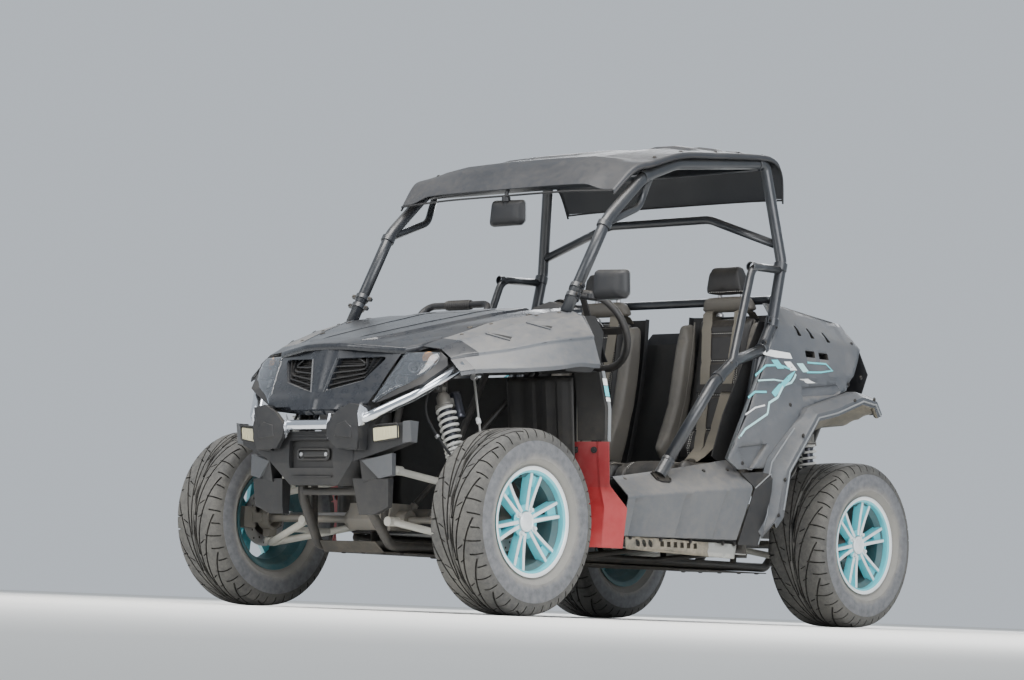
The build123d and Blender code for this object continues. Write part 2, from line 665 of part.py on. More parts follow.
with BuildPart() as front_arms:
    wishbone(AXLE_X, BALL_LOW_Z, BALL_LOW_Z - 7, (163, 215, 318), 13)
    wishbone(AXLE_X, BALL_TOP_Z, BALL_TOP_Z + 4, (163, 224, 500), 13)
    for s in (1, -1):
        for x0, x1 in ((1063, 1068), (1092, 1097)):
            slab_x(x0, x1, [(s * 400, 446), (s * 484, 430), (s * 484, 450),
                            (s * 456, 506), (s * 420, 506), (s * 400, 470)])
        for z in (BALL_LOW_Z, BALL_TOP_Z):
            bar((AXLE_X, s * KINGPIN_Y, z - 20), (AXLE_X, s * KINGPIN_Y, z + 20),
                7.5, Mode.SUBTRACT)
    add(chassis_frame.part, mode=Mode.SUBTRACT)
finish(front_arms, "front_arms")

with BuildPart() as rear_arms:
    wishbone(-AXLE_X, BALL_LOW_Z, BALL_LOW_Z - 7, (130, 222, 300), 13)
    wishbone(-AXLE_X, BALL_TOP_Z, BALL_TOP_Z + 4, (130, 235, 470), 13)
    for s in (1, -1):
        for x0, x1 in ((-1098, -1093), (-1069, -1064)):
            slab_x(x0, x1, [(s * 392, 432), (s * 428, 426), (s * 426, 490),
                            (s * 396, 490)])
        # hub carriers
        box(-AXLE_X - 18, -AXLE_X + 18, s * 552, s * 588, 250, 410)
        bar((-AXLE_X, s * 546, AXLE_Z), (-AXLE_X, s * 597, AXLE_Z), 42)
        bar((-AXLE_X, s * 540, AXLE_Z), (-AXLE_X, s * 590, AXLE_Z), 34,
            Mode.SUBTRACT)
        bar((-AXLE_X, s * 588, AXLE_Z), (-AXLE_X, s * 680, AXLE_Z), 15)
    add(chassis_frame.part, mode=Mode.SUBTRACT)
finish(rear_arms, "rear_arms")


def shock(low, top):
    """Eye, damper body, rod and a coil sleeve between two pins."""
    a, b = Vector(*low), Vector(*top)
    d = (b - a).normalized()
    size = (b - a).length

    def at(k):
        return tuple(a + d * (size * k))
    for p in (low, top):
        bar((p[0] - 12, p[1], p[2]), (p[0] + 12, p[1], p[2]), 14)
    bar(at(0.10), at(0.80), 38)
    bar(at(0.14), at(0.76), 26, Mode.SUBTRACT)
    bar(low, at(0.55), 10)
    bar(at(0.45), at(0.90), 20)
    bar(at(0.88), top, 10)


with BuildPart() as front_shocks:
    shock((1080, 438, 490), (1080, 330, 800))
    mirror(about=Plane.XZ)
finish(front_shocks, "front_shocks")

with BuildPart() as rear_shocks:
    shock((-1081, 408, 474), (-1081, 398, 815))
    mirror(about=Plane.XZ)
finish(rear_shocks, "rear_shocks")

# steered uprights
for name, s in (("front_knuckle_left", 1), ("front_knuckle_right", -1)):
    with BuildPart() as knuckle:
        box(AXLE_X - 18, AXLE_X + 18, s * 552, s * 588, 262, 398)
        bar((AXLE_X, s * 546, AXLE_Z), (AXLE_X, s * 597, AXLE_Z), 42)
        # steering arm behind the axle
        box(RACK_X, AXLE_X - 30, s * 562, s * 588, 326, 338)
        bar((RACK_X, s * 575, 326), (RACK_X, s * 575, 338), 16)
        # brake caliper and its bracket
        box(AXLE_X + 30, AXLE_X + 90, s * 574, s * 590, 312, 348)
        box(AXLE_X + 70, AXLE_X + 128, s * 578, s * 632, 290, 370)
        box(AXLE_X + 60, AXLE_X + 112, s * 597, s * 615, 280, 380,
            Mode.SUBTRACT)
        bar((AXLE_X, s * 540, AXLE_Z), (AXLE_X, s * 590, AXLE_Z), 34,
            Mode.SUBTRACT)
        bar((AXLE_X, s * 589, AXLE_Z), (AXLE_X, s * 680, AXLE_Z), 15)
        # ball studs on the steering axis
        bar((AXLE_X, s * KINGPIN_Y, 228), (AXLE_X, s * KINGPIN_Y, 263), 6.5)
        bar((AXLE_X, s * KINGPIN_Y, 397), (AXLE_X, s * KINGPIN_Y, 432), 6.5)
    finish(knuckle, name)

with BuildPart() as steering_rack:
    bar((RACK_X, -570, RACK_Z), (RACK_X, 570, RACK_Z), 9)
    for s in (1, -1):
        bar((RACK_X, s * 575, 339.5), (RACK_X, s * 575, 362), 15)
finish(steering_rack, "steering_rack")

# ---------------------------------------------------------------- wheels
# outer half profile of a tyre: distance from the centre plane as a share of the
# half width, radius
TYRE_OUTER = [(0.885, 209), (1.0, 255), (0.925, 305), (0.84, 320),
              (0.70, 327), (0.0, TYRE_R)]


def tyre_profile(w):
    h = w / 2
    seat_y = h - 26
    outer = [(seat_y, 198.0)] + [(k * h, r) for k, r in TYRE_OUTER]
    inner = [(0.0, TYRE_R - 12), (0.68 * h, 315), (0.80 * h, 305),
             (1.0 * h - 12, 255), (0.885 * h - 10, 212), (seat_y - 13, 196),
             (seat_y - 18, SEAT_R)]
    half = [(seat_y, SEAT_R)] + outer
    line = half + [(-y, r) for y, r in half[-2::-1]]
    back = [(-y, r) for y, r in inner[::-1]] + inner[1:]
    return line + back


def wheel_axis(x, y):
    return Axis((x, y, AXLE_Z), (0, 1, 0))


def spin_profile(x, yc, pts):
    """Half section [(y from the wheel centre, radius)] turned about the axle."""
    revolve(outline(Plane.YZ.offset(x), [(yc + y, AXLE_Z + r) for y, r in pts]),
            axis=wheel_axis(x, yc))


# corner name, x, centre-plane y, side, tyre width
CORNERS = [("front_left", AXLE_X, FRONT_TRACK_Y, 1, FRONT_TYRE_W),
           ("front_right", AXLE_X, -FRONT_TRACK_Y, -1, FRONT_TYRE_W),
           ("rear_left", -AXLE_X, REAR_TRACK_Y, 1, REAR_TYRE_W),
           ("rear_right", -AXLE_X, -REAR_TRACK_Y, -1, REAR_TYRE_W)]

for corner, x, yc, s, width in CORNERS:
    with BuildPart() as tyre:
        spin_profile(x, yc, tyre_profile(width))
    finish(tyre, "tyre_" + corner)

    e = width / 2 - 26 + 0.5          # inside face of the rim flange
    face = s * 701.5 - yc             # outer face of the spokes, from the centre
    with BuildPart() as rim:
        o = SEAT_R - 0.3
        spin_profile(x, yc, [(-s * (e + 6), 194), (-s * e, 194), (-s * e, o),
                             (-s * (e - 22), o), (-s * (e - 34), 160),
                             (s * (e - 40), 160), (s * (e - 22), o), (s * e, o),
                             (s * e, 194), (s * (e + 7), 195),
                             (s * (e + 7), 186), (s * (e - 2), 173),
                             (s * (e - 20), 173), (s * (e - 38), 154),
                             (-s * (e - 32), 154), (-s * (e - 20), 173),
                             (-s * (e + 6), 173)])
        # six twin spokes, each a root that forks towards the rim
        with BuildSketch(Plane.XZ.offset(-(yc + face))):
            with Locations((x, AXLE_Z)):
                Circle(52)
            for a in (103, 43, -17, -77, -137, 163):
                for d in (-11, 11):
                    q = []
                    for u, v in [(30, -8), (158, d * 2.1 - 7),
                                 (158, d * 2.1 + 7), (30, 8)]:
                        t = math.radians(a)
                        q.append((x + u * math.cos(t) - v * math.sin(t),
                                  AXLE_Z + u * math.sin(t) + v * math.cos(t)))
                    with BuildLine():
                        Polyline(*q, close=True)
                    make_face()
        extrude(amount=s * 22)
        # hub barrel and brake disc on the inside
        bar((x, s * 609, AXLE_Z), (x, s * 690, AXLE_Z), 34)
        bar((x, s * 603, AXLE_Z), (x, s * 609, AXLE_Z), 105)
        bar((x, s * 600, AXLE_Z), (x, s * 684, AXLE_Z), 15.6, Mode.SUBTRACT)
        # cap
        bar((x, s * 700, AXLE_Z), (x, s * 712, AXLE_Z), 30)
    finish(rim, "rim_" + corner)

# ---------------------------------------------------------------- mirrors
with BuildPart() as side_mirror:
    # driver side only: clamp on the front pillar, short arm, housing
    bar((619, 543.5, 1172), (601, 544, 1204), 31)
    bar((610, 560, 1188), (606, 625, 1206), 9)
    loft_y([(612, [(585, 1168), (612, 1172), (616, 1252), (585, 1262)]),
            (700, [(580, 1156), (622, 1164), (624, 1260), (580, 1270)]),
            (784, [(585, 1164), (610, 1170), (612, 1250), (585, 1260)])])
    add(cage_touch.part, mode=Mode.SUBTRACT)
finish(side_mirror, "side_mirror")

with BuildPart() as centre_mirror:
    loft_y([(-92, [(372, 1508), (392, 1512), (392, 1560), (372, 1566)]),
            (-50, [(370, 1486), (402, 1492), (402, 1580), (370, 1592)]),
            (50, [(370, 1486), (402, 1492), (402, 1580), (370, 1592)]),
            (92, [(372, 1508), (392, 1512), (392, 1560), (372, 1566)])])
    bar((366, 0, 1590), (366, 0, 1625), 7)
    add(roof.part, mode=Mode.SUBTRACT)
finish(centre_mirror, "centre_mirror")
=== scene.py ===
"""Looks for a two-seat open dune buggy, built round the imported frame.

+X forward, +Y to the driver's side, +Z up. Tables are in millimetres.
"""
import math

import bmesh
import bpy
import numpy as np
from mathutils import Matrix, Vector, noise
from mathutils.bvhtree import BVHTree
from mathutils.geometry import delaunay_2d_cdt


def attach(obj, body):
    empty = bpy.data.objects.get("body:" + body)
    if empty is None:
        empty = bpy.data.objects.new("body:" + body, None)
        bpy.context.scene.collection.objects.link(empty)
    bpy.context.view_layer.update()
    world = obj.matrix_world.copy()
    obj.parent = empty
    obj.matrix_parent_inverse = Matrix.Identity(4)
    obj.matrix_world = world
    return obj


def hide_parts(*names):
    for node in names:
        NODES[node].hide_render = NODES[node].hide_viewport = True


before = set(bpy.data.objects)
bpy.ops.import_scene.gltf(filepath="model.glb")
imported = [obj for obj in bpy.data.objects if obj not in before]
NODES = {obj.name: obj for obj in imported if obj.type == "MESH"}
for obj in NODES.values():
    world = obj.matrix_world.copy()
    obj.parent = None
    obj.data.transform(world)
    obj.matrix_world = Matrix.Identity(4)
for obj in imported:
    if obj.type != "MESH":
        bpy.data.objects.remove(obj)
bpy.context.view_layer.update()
BODY = "buggy_body"
MM = 0.001


# ------------------------------------------------------------------ materials
def srgb(r, g, b):
    out = []
    for c in (r, g, b):
        c /= 255.0
        out.append(c / 12.92 if c <= 0.04045 else ((c + 0.055) / 1.055) ** 2.4)
    return (out[0], out[1], out[2], 1.0)


DUST = srgb(170, 158, 138)


class Graph:
    """Short calls for building a node material."""

    def __init__(self, name):
        self.mat = bpy.data.materials.new(name)
        self.mat.use_nodes = True
        self.tree = self.mat.node_tree
        self.tree.nodes.clear()
        self.out = self.tree.nodes.new("ShaderNodeOutputMaterial")
        self.bsdf = self.tree.nodes.new("ShaderNodeBsdfPrincipled")
        self.tree.links.new(self.bsdf.outputs[0], self.out.inputs[0])
        self.coord = self.tree.nodes.new("ShaderNodeTexCoord").outputs["Object"]

    def put(self, socket, value):
        if isinstance(value, bpy.types.NodeSocket):
            self.tree.links.new(value, socket)
        elif value is not None:
            socket.default_value = value

    def noise(self, scale, detail=3.0, rough=0.55, vector=None, distort=0.0):
        n = self.tree.nodes.new("ShaderNodeTexNoise")
        self.put(n.inputs["Vector"], vector or self.coord)
        n.inputs["Scale"].default_value = scale
        n.inputs["Detail"].default_value = detail
        n.inputs["Roughness"].default_value = rough
        n.inputs["Distortion"].default_value = distort
        return n.outputs[0]

    def cells(self, scale, vector=None, feature="F1"):
        n = self.tree.nodes.new("ShaderNodeTexVoronoi")
        n.feature = feature
        self.put(n.inputs["Vector"], vector or self.coord)
        n.inputs["Scale"].default_value = scale
        return n.outputs["Distance"]

    def scaled(self, x, y, z):
        n = self.tree.nodes.new("ShaderNodeVectorMath")
        n.operation = "MULTIPLY"
        self.put(n.inputs[0], self.coord)
        n.inputs[1].default_value = (x, y, z)
        return n.outputs[0]

    def axis(self, which, source=None):
        n = self.tree.nodes.new("ShaderNodeSeparateXYZ")
        self.put(n.inputs[0], source or self.coord)
        return n.outputs[which]

    def normal(self, which):
        g = self.tree.nodes.new("ShaderNodeNewGeometry")
        return self.axis(which, g.outputs["Normal"])

    def math(self, op, a, b=0.0, c=None, clamp=False):
        n = self.tree.nodes.new("ShaderNodeMath")
        n.operation = op
        n.use_clamp = clamp
        self.put(n.inputs[0], a)
        self.put(n.inputs[1], b)
        if c is not None:
            self.put(n.inputs[2], c)
        return n.outputs[0]

    def ramp(self, value, lo, hi, a=0.0, b=1.0, smooth=False):
        n = self.tree.nodes.new("ShaderNodeMapRange")
        if smooth:
            n.interpolation_type = "SMOOTHSTEP"
        self.put(n.inputs["Value"], value)
        for key, v in (("From Min", lo), ("From Max", hi), ("To Min", a),
                       ("To Max", b)):
            n.inputs[key].default_value = v
        return n.outputs[0]

    def mix(self, fac, a, b, mode="MIX"):
        n = self.tree.nodes.new("ShaderNodeMix")
        n.data_type = "RGBA"
        n.blend_type = mode
        self.put(n.inputs[0], fac)
        self.put(n.inputs[6], a)
        self.put(n.inputs[7], b)
        return n.outputs[2]

    def blend(self, fac, a, b):
        n = self.tree.nodes.new("ShaderNodeMix")
        n.data_type = "FLOAT"
        self.put(n.inputs[0], fac)
        self.put(n.inputs[2], a)
        self.put(n.inputs[3], b)
        return n.outputs[0]

    def bump(self, height, strength=0.4, distance=0.001, normal=None):
        n = self.tree.nodes.new("ShaderNodeBump")
        n.inputs["Strength"].default_value = strength
        n.inputs["Distance"].default_value = distance
        self.put(n.inputs["Height"], height)
        if normal is not None:
            self.put(n.inputs["Normal"], normal)
        return n.outputs[0]

    def set(self, **values):
        for key, v in values.items():
            self.put(self.bsdf.inputs[key.replace("_", " ")], v)
        return self


def surface(name, colour, rough, metal=0.0, vary=0.12, vary_scale=4.0,
            dust=0.1, up=0.3, low=0.0, low_top=0.9, dust_colour=DUST,
            grain=0.0, grain_scale=900.0, coat=0.0, coat_rough=0.12,
            spec=0.5, scuff=0.0, streak=False):
    """Painted, moulded or cast surface with uneven tone, settled dust and grain."""
    g = Graph(name)
    broad = g.noise(vary_scale, 4, 0.6)
    fine = g.noise(38, 5, 0.65)
    speck = g.noise(260, 3, 0.6)
    dark = tuple(c * (1 - vary) for c in colour[:3]) + (1.0,)
    light = tuple(min(1.0, c * (1 + vary) + 0.004) for c in colour[:3]) + (1.0,)
    tint = g.mix(g.ramp(broad, 0.32, 0.68), dark, light)
    facing = g.ramp(g.normal(2), 0.15, 0.95)
    patch = g.ramp(g.math("ADD", g.math("MULTIPLY", broad, 0.5),
                          g.math("MULTIPLY", fine, 0.5)), 0.4, 0.62, 0.25, 1.0)
    mask = g.math("MULTIPLY", patch, g.math("MULTIPLY_ADD", facing, up, dust))
    if low:
        height = g.ramp(g.axis(2), low_top, 0.15, 0.0, low)
        mask = g.math("ADD", mask, g.math("MULTIPLY", height, patch))
    mask = g.math("MULTIPLY", mask, g.ramp(speck, 0.25, 0.6, 0.72, 1.0),
                  clamp=True)
    base = g.mix(mask, tint, dust_colour)
    if scuff:
        lines = g.noise(30, 6, 0.7, g.scaled(1.0, 1.0, 9.0) if not streak
                        else g.scaled(0.6, 8.0, 8.0), 0.6)
        worn = g.ramp(lines, 0.60, 0.66, 0.0, scuff)
        base = g.mix(worn, base, tuple(min(1, c * 1.7 + 0.06)
                                       for c in colour[:3]) + (1.0,))
    roughness = g.blend(mask, g.ramp(fine, 0.3, 0.7, rough * 0.86,
                                     min(1.0, rough * 1.14)), 0.92)
    g.set(Base_Color=base, Roughness=roughness)
    if metal:
        g.set(Metallic=g.blend(mask, metal, 0.0))
    height = g.math("MULTIPLY", mask, 0.35)
    if grain:
        height = g.math("MULTIPLY_ADD", g.noise(grain_scale, 2, 0.5), grain,
                        height)
    g.set(Normal=g.bump(height, 0.35, 0.0006))
    g.bsdf.inputs["Coat Weight"].default_value = coat
    g.bsdf.inputs["Coat Roughness"].default_value = coat_rough
    g.bsdf.inputs["Specular IOR Level"].default_value = spec
    return g.mat


M = {
    "tube": surface("tube_paint", srgb(34, 38, 44), 0.32, vary=0.10, dust=0.02,
                    up=0.14, low=0.06, grain=0.3, grain_scale=700, coat=0.25,
                    coat_rough=0.3),
    "frame": surface("frame_paint", srgb(34, 35, 37), 0.5, dust=0.04, up=0.1,
                     low=0.10, grain=0.4),
    "chrome": surface("bright_bar", srgb(204, 208, 214), 0.12, metal=1.0,
                      vary=0.03, dust=0.02, up=0.06, grain=0.05,
                      grain_scale=300),
    "panel": surface("grey_panel", srgb(76, 80, 86), 0.44, vary=0.10,
                     vary_scale=3.2, dust=0.05, up=0.22, low=0.14, grain=0.8,
                     grain_scale=1100, spec=0.5, scuff=0.12),
    "hood": surface("dark_panel", srgb(27, 31, 38), 0.28, vary=0.10, dust=0.015,
                    up=0.06, grain=0.25, grain_scale=1200, coat=0.2,
                    coat_rough=0.2, spec=0.38),
    "black": surface("black_plastic", srgb(29, 31, 35), 0.46, vary=0.12,
                     dust=0.02, up=0.08, low=0.05, grain=1.0,
                     grain_scale=1300, spec=0.34),
    "facet": surface("facet_grey", srgb(66, 69, 74), 0.48, vary=0.1,
                     dust=0.06, up=0.12, grain=0.8, grain_scale=1200),
    "roof": surface("roof_plastic", srgb(38, 41, 47), 0.44, vary=0.10,
                    vary_scale=2.5, dust=0.02, up=0.09, grain=0.9,
                    grain_scale=1200, spec=0.4),
    "cabin": surface("cabin_plastic", srgb(30, 31, 33), 0.62, dust=0.03,
                     up=0.12, grain=1.2, grain_scale=1000),
    "liner": surface("liner_plastic", srgb(22, 23, 26), 0.58, dust=0.04,
                     up=0.12, low=0.22, low_top=0.8, grain=0.8),
    "under": surface("underside", srgb(32, 32, 32), 0.7, dust=0.07, up=0.12,
                     low=0.13, low_top=0.5, grain=1.0),
    "red": surface("red_panel", srgb(158, 40, 40), 0.42, vary=0.08, dust=0.12,
                   up=0.2, low=0.28, low_top=0.7, grain=0.6, scuff=0.10,
                   dust_colour=srgb(196, 150, 132)),
    "alu": surface("light_aluminium", srgb(176, 176, 172), 0.42, metal=0.85,
                   vary=0.08, dust=0.12, up=0.3, grain=0.4, scuff=0.2),
    "silver": surface("bright_silver", srgb(206, 209, 214), 0.26, metal=0.9,
                      vary=0.03, dust=0.03, up=0.06, grain=0.2),
    "rim": surface("turquoise_paint", srgb(84, 182, 194), 0.32, vary=0.07,
                   dust=0.10, up=0.1, low=0.0, coat=0.5, coat_rough=0.15,
                   dust_colour=srgb(150, 196, 200)),
    "tyre": None,
    "arm": surface("arm_paint", srgb(178, 178, 172), 0.44, vary=0.08,
                   dust=0.16, up=0.3, low=0.25, low_top=0.6, grain=0.6,
                   scuff=0.12),
    "spring": surface("spring_paint", srgb(206, 206, 202), 0.4, vary=0.06,
                      dust=0.10, up=0.2, grain=0.4),
    "damper": surface("damper_body", srgb(44, 48, 60), 0.32, metal=0.5,
                      dust=0.08, up=0.2, coat=0.3),
    "cast": surface("cast_metal", srgb(128, 127, 124), 0.55, metal=0.7,
                    dust=0.22, up=0.3, low=0.3, low_top=0.6, grain=1.5,
                    grain_scale=500),
    "steel": surface("plated_steel", srgb(196, 196, 198), 0.3, metal=0.95,
                     vary=0.06, dust=0.10, up=0.2, grain=0.3),
    "bolt": surface("dark_bolt", srgb(40, 40, 42), 0.4, metal=0.6, dust=0.08,
                    up=0.2),
    "grip": surface("grip_leather", srgb(30, 30, 32), 0.5, dust=0.04, up=0.12,
                    grain=2.0, grain_scale=420),
    "screen": surface("gauge_glass", srgb(14, 15, 17), 0.12, dust=0.04,
                      up=0.10, coat=0.6, coat_rough=0.05),
    "mesh": surface("grille_mesh", srgb(24, 25, 28), 0.5, dust=0.04, up=0.1),
    "amber": surface("amber_lens", srgb(226, 150, 58), 0.2, vary=0.12,
                     dust=0.02, up=0.0, coat=0.5),
    "bowl": surface("lamp_bowl", srgb(112, 113, 114), 0.36, metal=0.4,
                    vary=0.05, dust=0.03, up=0.05),
    "cream": surface("cream_lens", srgb(198, 192, 160), 0.3, vary=0.06,
                     dust=0.06, up=0.1, coat=0.4),
    "red_lens": surface("red_lens", srgb(128, 22, 24), 0.16, vary=0.1,
                        dust=0.06, up=0.1, coat=0.8, coat_rough=0.05),
    "glass": surface("mirror_glass", srgb(196, 204, 212), 0.04, metal=1.0,
                     vary=0.02, dust=0.03, up=0.0),
}


def tyre_material():
    g = Graph("tyre_rubber")
    broad = g.noise(5, 4, 0.6)
    fine = g.noise(60, 5, 0.65)
    speck = g.noise(420, 3, 0.6)
    base = g.mix(g.ramp(fine, 0.3, 0.7), srgb(54, 54, 54), srgb(72, 72, 71))
    dusty = g.mix(g.ramp(speck, 0.3, 0.7), srgb(84, 83, 80),
                  srgb(108, 105, 99))
    mask = g.ramp(g.math("ADD", g.math("MULTIPLY", broad, 0.6),
                         g.math("MULTIPLY", fine, 0.4)), 0.40, 0.62, 0.15, 0.75)
    g.set(Base_Color=g.mix(mask, base, dusty),
          Roughness=g.blend(mask, 0.72, 0.95))
    g.set(Normal=g.bump(g.math("MULTIPLY_ADD", speck, 0.7,
                               g.math("MULTIPLY", fine, 0.6)), 0.4, 0.0007))
    return g.mat


# darker than the tyre rubber, with dust-brown patches: painted shade for the tread
# grooves and the rear panel slots
def groove_material():
    g = Graph("tyre_groove")
    g.set(Base_Color=g.mix(g.ramp(g.noise(90, 4), 0.35, 0.7),
                           srgb(34, 34, 34), srgb(70, 67, 62)),
          Roughness=0.95)
    g.set(Normal=g.bump(g.noise(400, 3), 0.4, 0.0007))
    return g.mat


def lens_material():
    g = Graph("clear_lens")
    g.set(Base_Color=srgb(176, 182, 190),
          Roughness=g.ramp(g.noise(24, 4), 0.45, 0.75, 0.03, 0.2))
    g.bsdf.inputs["Transmission Weight"].default_value = 0.92
    g.bsdf.inputs["IOR"].default_value = 1.3
    g.bsdf.inputs["Coat Weight"].default_value = 0.5
    g.bsdf.inputs["Coat Roughness"].default_value = 0.03
    return g.mat


M["tyre"] = tyre_material()
M["groove"] = groove_material()
M["lens"] = lens_material()


# ------------------------------------------------------------------ mesh tools
def lerp(a, b, t):
    return a + (b - a) * t


def unit(v):
    v = Vector(v)
    return v.normalized() if v.length > 1e-9 else Vector((0, 0, 1))


def frame_of(axis):
    """Two directions square to axis."""
    a = unit(axis)
    ref = Vector((0, 0, 1)) if abs(a.z) < 0.9 else Vector((1, 0, 0))
    u = ref.cross(a).normalized()
    return u, a.cross(u)


def smooth_line(points, step):
    """Catmull-Rom points through the given ones, about step apart."""
    pts = [Vector(p) for p in points]
    out = []
    for i in range(len(pts) - 1):
        p0 = pts[max(i - 1, 0)]
        p1, p2 = pts[i], pts[i + 1]
        p3 = pts[min(i + 2, len(pts) - 1)]
        n = max(1, int(round((p2 - p1).length / step)))
        for k in range(n):
            t = k / n
            out.append(0.5 * ((2 * p1) + (p2 - p0) * t
                              + (2 * p0 - 5 * p1 + 4 * p2 - p3) * t * t
                              + (3 * p1 - p0 - 3 * p2 + p3) * t ** 3))
    out.append(pts[-1])
    return out


def rounded(points, radius, arc=4, closed=False):
    """Polyline with its corners rounded; radius is one number or one a corner."""
    pts = [Vector(p) for p in points]
    n = len(pts)
    radii = radius if isinstance(radius, (list, tuple)) else [radius] * n
    out = []
    for i in range(n):
        if not closed and i in (0, n - 1):
            out.append(pts[i])
            continue
        a, b, c = pts[i - 1], pts[i], pts[(i + 1) % n]
        r = radii[i]
        la, lc = (a - b).length, (c - b).length
        d1, d2 = (a - b).normalized(), (c - b).normalized()
        ang = d1.angle(d2, math.pi)
        if r <= 0 or ang > math.pi - 0.03:
            out.append(b)
            continue
        cut = min(r / math.tan(ang / 2), la * 0.46, lc * 0.46)
        s, e = b + d1 * cut, b + d2 * cut
        for k in range(arc + 1):
            t = k / arc
            out.append((s * (1 - t) ** 2) + (b * 2 * t * (1 - t)) + (e * t * t))
    return out


class Build:
    """Collects the parts of one piece. Coordinates are in millimetres."""

    def __init__(self):
        self.v, self.f, self.m = [], [], []

    def add(self, verts, faces, mat=0):
        n = len(self.v)
        self.v += [tuple(p) for p in verts]
        self.f += [tuple(i + n for i in f) for f in faces]
        self.m += [mat] * len(faces)
        return self

    def mirror_y(self):
        n = len(self.v)
        self.v += [(x, -y, z) for x, y, z in self.v]
        self.f += [tuple(i + n for i in f[::-1]) for f in self.f]
        self.m += self.m
        return self

    def tube(self, path, r, sides=14, mat=0, closed=False, caps=True):
        """Round tube; r is one number or one number a point."""
        pts = [Vector(p) for p in path]
        n = len(pts)
        radii = r if isinstance(r, (list, tuple)) else [r] * n
        tangents = []
        for i in range(n):
            a = pts[(i - 1) % n] if closed or i else pts[0]
            b = pts[(i + 1) % n] if closed or i < n - 1 else pts[-1]
            tangents.append((b - a).normalized())
        u, _ = frame_of(tangents[0])
        verts, faces = [], []
        for i in range(n):
            t = tangents[i]
            u = (u - t * u.dot(t)).normalized()
            w = t.cross(u)
            for k in range(sides):
                a = 2 * math.pi * k / sides
                verts.append(pts[i] + (u * math.cos(a) + w * math.sin(a)) * radii[i])
        for i in range(n if closed else n - 1):
            j = (i + 1) % n
            for k in range(sides):
                l = (k + 1) % sides
                faces.append((i * sides + k, i * sides + l, j * sides + l,
                              j * sides + k))
        if not closed and caps:
            faces.append(tuple(range(sides))[::-1])
            faces.append(tuple((n - 1) * sides + k for k in range(sides)))
        return self.add(verts, faces, mat)

    def lathe(self, profile, origin, axis, seg=48, mat=0, closed=False,
              cap0=False, cap1=False):
        """Turns (distance along axis, radius) points about the axis."""
        o, a = Vector(origin), unit(axis)
        u, w = frame_of(a)
        verts, faces = [], []
        for d, r in profile:
            for k in range(seg):
                t = 2 * math.pi * k / seg
                verts.append(o + a * d + (u * math.cos(t) + w * math.sin(t)) * r)
        n = len(profile)
        for i in range(n if closed else n - 1):
            j = (i + 1) % n
            for k in range(seg):
                l = (k + 1) % seg
                faces.append((i * seg + k, j * seg + k, j * seg + l,
                              i * seg + l))
        if cap0:
            faces.append(tuple(range(seg)))
        if cap1:
            faces.append(tuple((n - 1) * seg + k for k in range(seg))[::-1])
        return self.add(verts, faces, mat)

    def prism(self, outline, origin, u, v, w, depth, mat=0, taper=0.0):
        """Outline in the (u, v) plane carried depth along w."""
        o, u, v, w = Vector(origin), Vector(u), Vector(v), Vector(w)
        n = len(outline)
        cu = sum(p[0] for p in outline) / n
        cv = sum(p[1] for p in outline) / n
        verts = [o + u * a + v * b for a, b in outline]
        verts += [o + u * lerp(a, cu, taper) + v * lerp(b, cv, taper) + w * depth
                  for a, b in outline]
        flip = u.cross(v).dot(w) * depth < 0
        area = sum(outline[i][0] * outline[(i + 1) % n][1]
                   - outline[(i + 1) % n][0] * outline[i][1] for i in range(n))
        if area < 0:
            flip = not flip
        faces = [tuple(range(n))[::-1], tuple(range(n, 2 * n))]
        faces += [(i, (i + 1) % n, (i + 1) % n + n, i + n) for i in range(n)]
        if flip:
            faces = [f[::-1] for f in faces]
        return self.add(verts, faces, mat)

    def block(self, x0, x1, y0, y1, z0, z1, mat=0):
        x0, x1 = sorted((x0, x1))
        y0, y1 = sorted((y0, y1))
        z0, z1 = sorted((z0, z1))
        return self.prism([(x0, y0), (x1, y0), (x1, y1), (x0, y1)], (0, 0, z0),
                          (1, 0, 0), (0, 1, 0), (0, 0, 1), z1 - z0, mat)

    def loft(self, rings, mat=0, closed=True, caps=True):
        """Skin through rings of equal point count."""
        n, m = len(rings), len(rings[0])
        verts = [p for ring in rings for p in ring]
        faces = []
        for i in range(n - 1):
            for k in range(m if closed else m - 1):
                l = (k + 1) % m
                faces.append((i * m + k, i * m + l, (i + 1) * m + l,
                              (i + 1) * m + k))
        if caps and closed:
            faces.append(tuple(range(m))[::-1])
            faces.append(tuple((n - 1) * m + k for k in range(m)))
        return self.add(verts, faces, mat)

    def bolt(self, origin, axis, r=6.0, h=4.0, mat=0, washer=None):
        o, a = Vector(origin), unit(axis)
        u, w = frame_of(a)
        if washer:
            self.lathe([(-0.5, 0.5), (-0.5, washer), (1.2, washer),
                        (1.4, r * 0.6)], o, a, 18, mat)
        ring = [(r * math.cos(math.pi * k / 3), r * math.sin(math.pi * k / 3))
                for k in range(6)]
        self.prism(ring, o + a * 0.8, u, w, a, h, mat, 0.10)
        return self

    def dome(self, origin, axis, r, h, mat=0, seg=16):
        pts = [(h * math.sin(t * math.pi / 2), r * math.cos(t * math.pi / 2))
               for t in (0, 0.25, 0.5, 0.75, 0.97)]
        return self.lathe([(-2, r)] + pts, origin, axis, seg, mat, cap1=True)

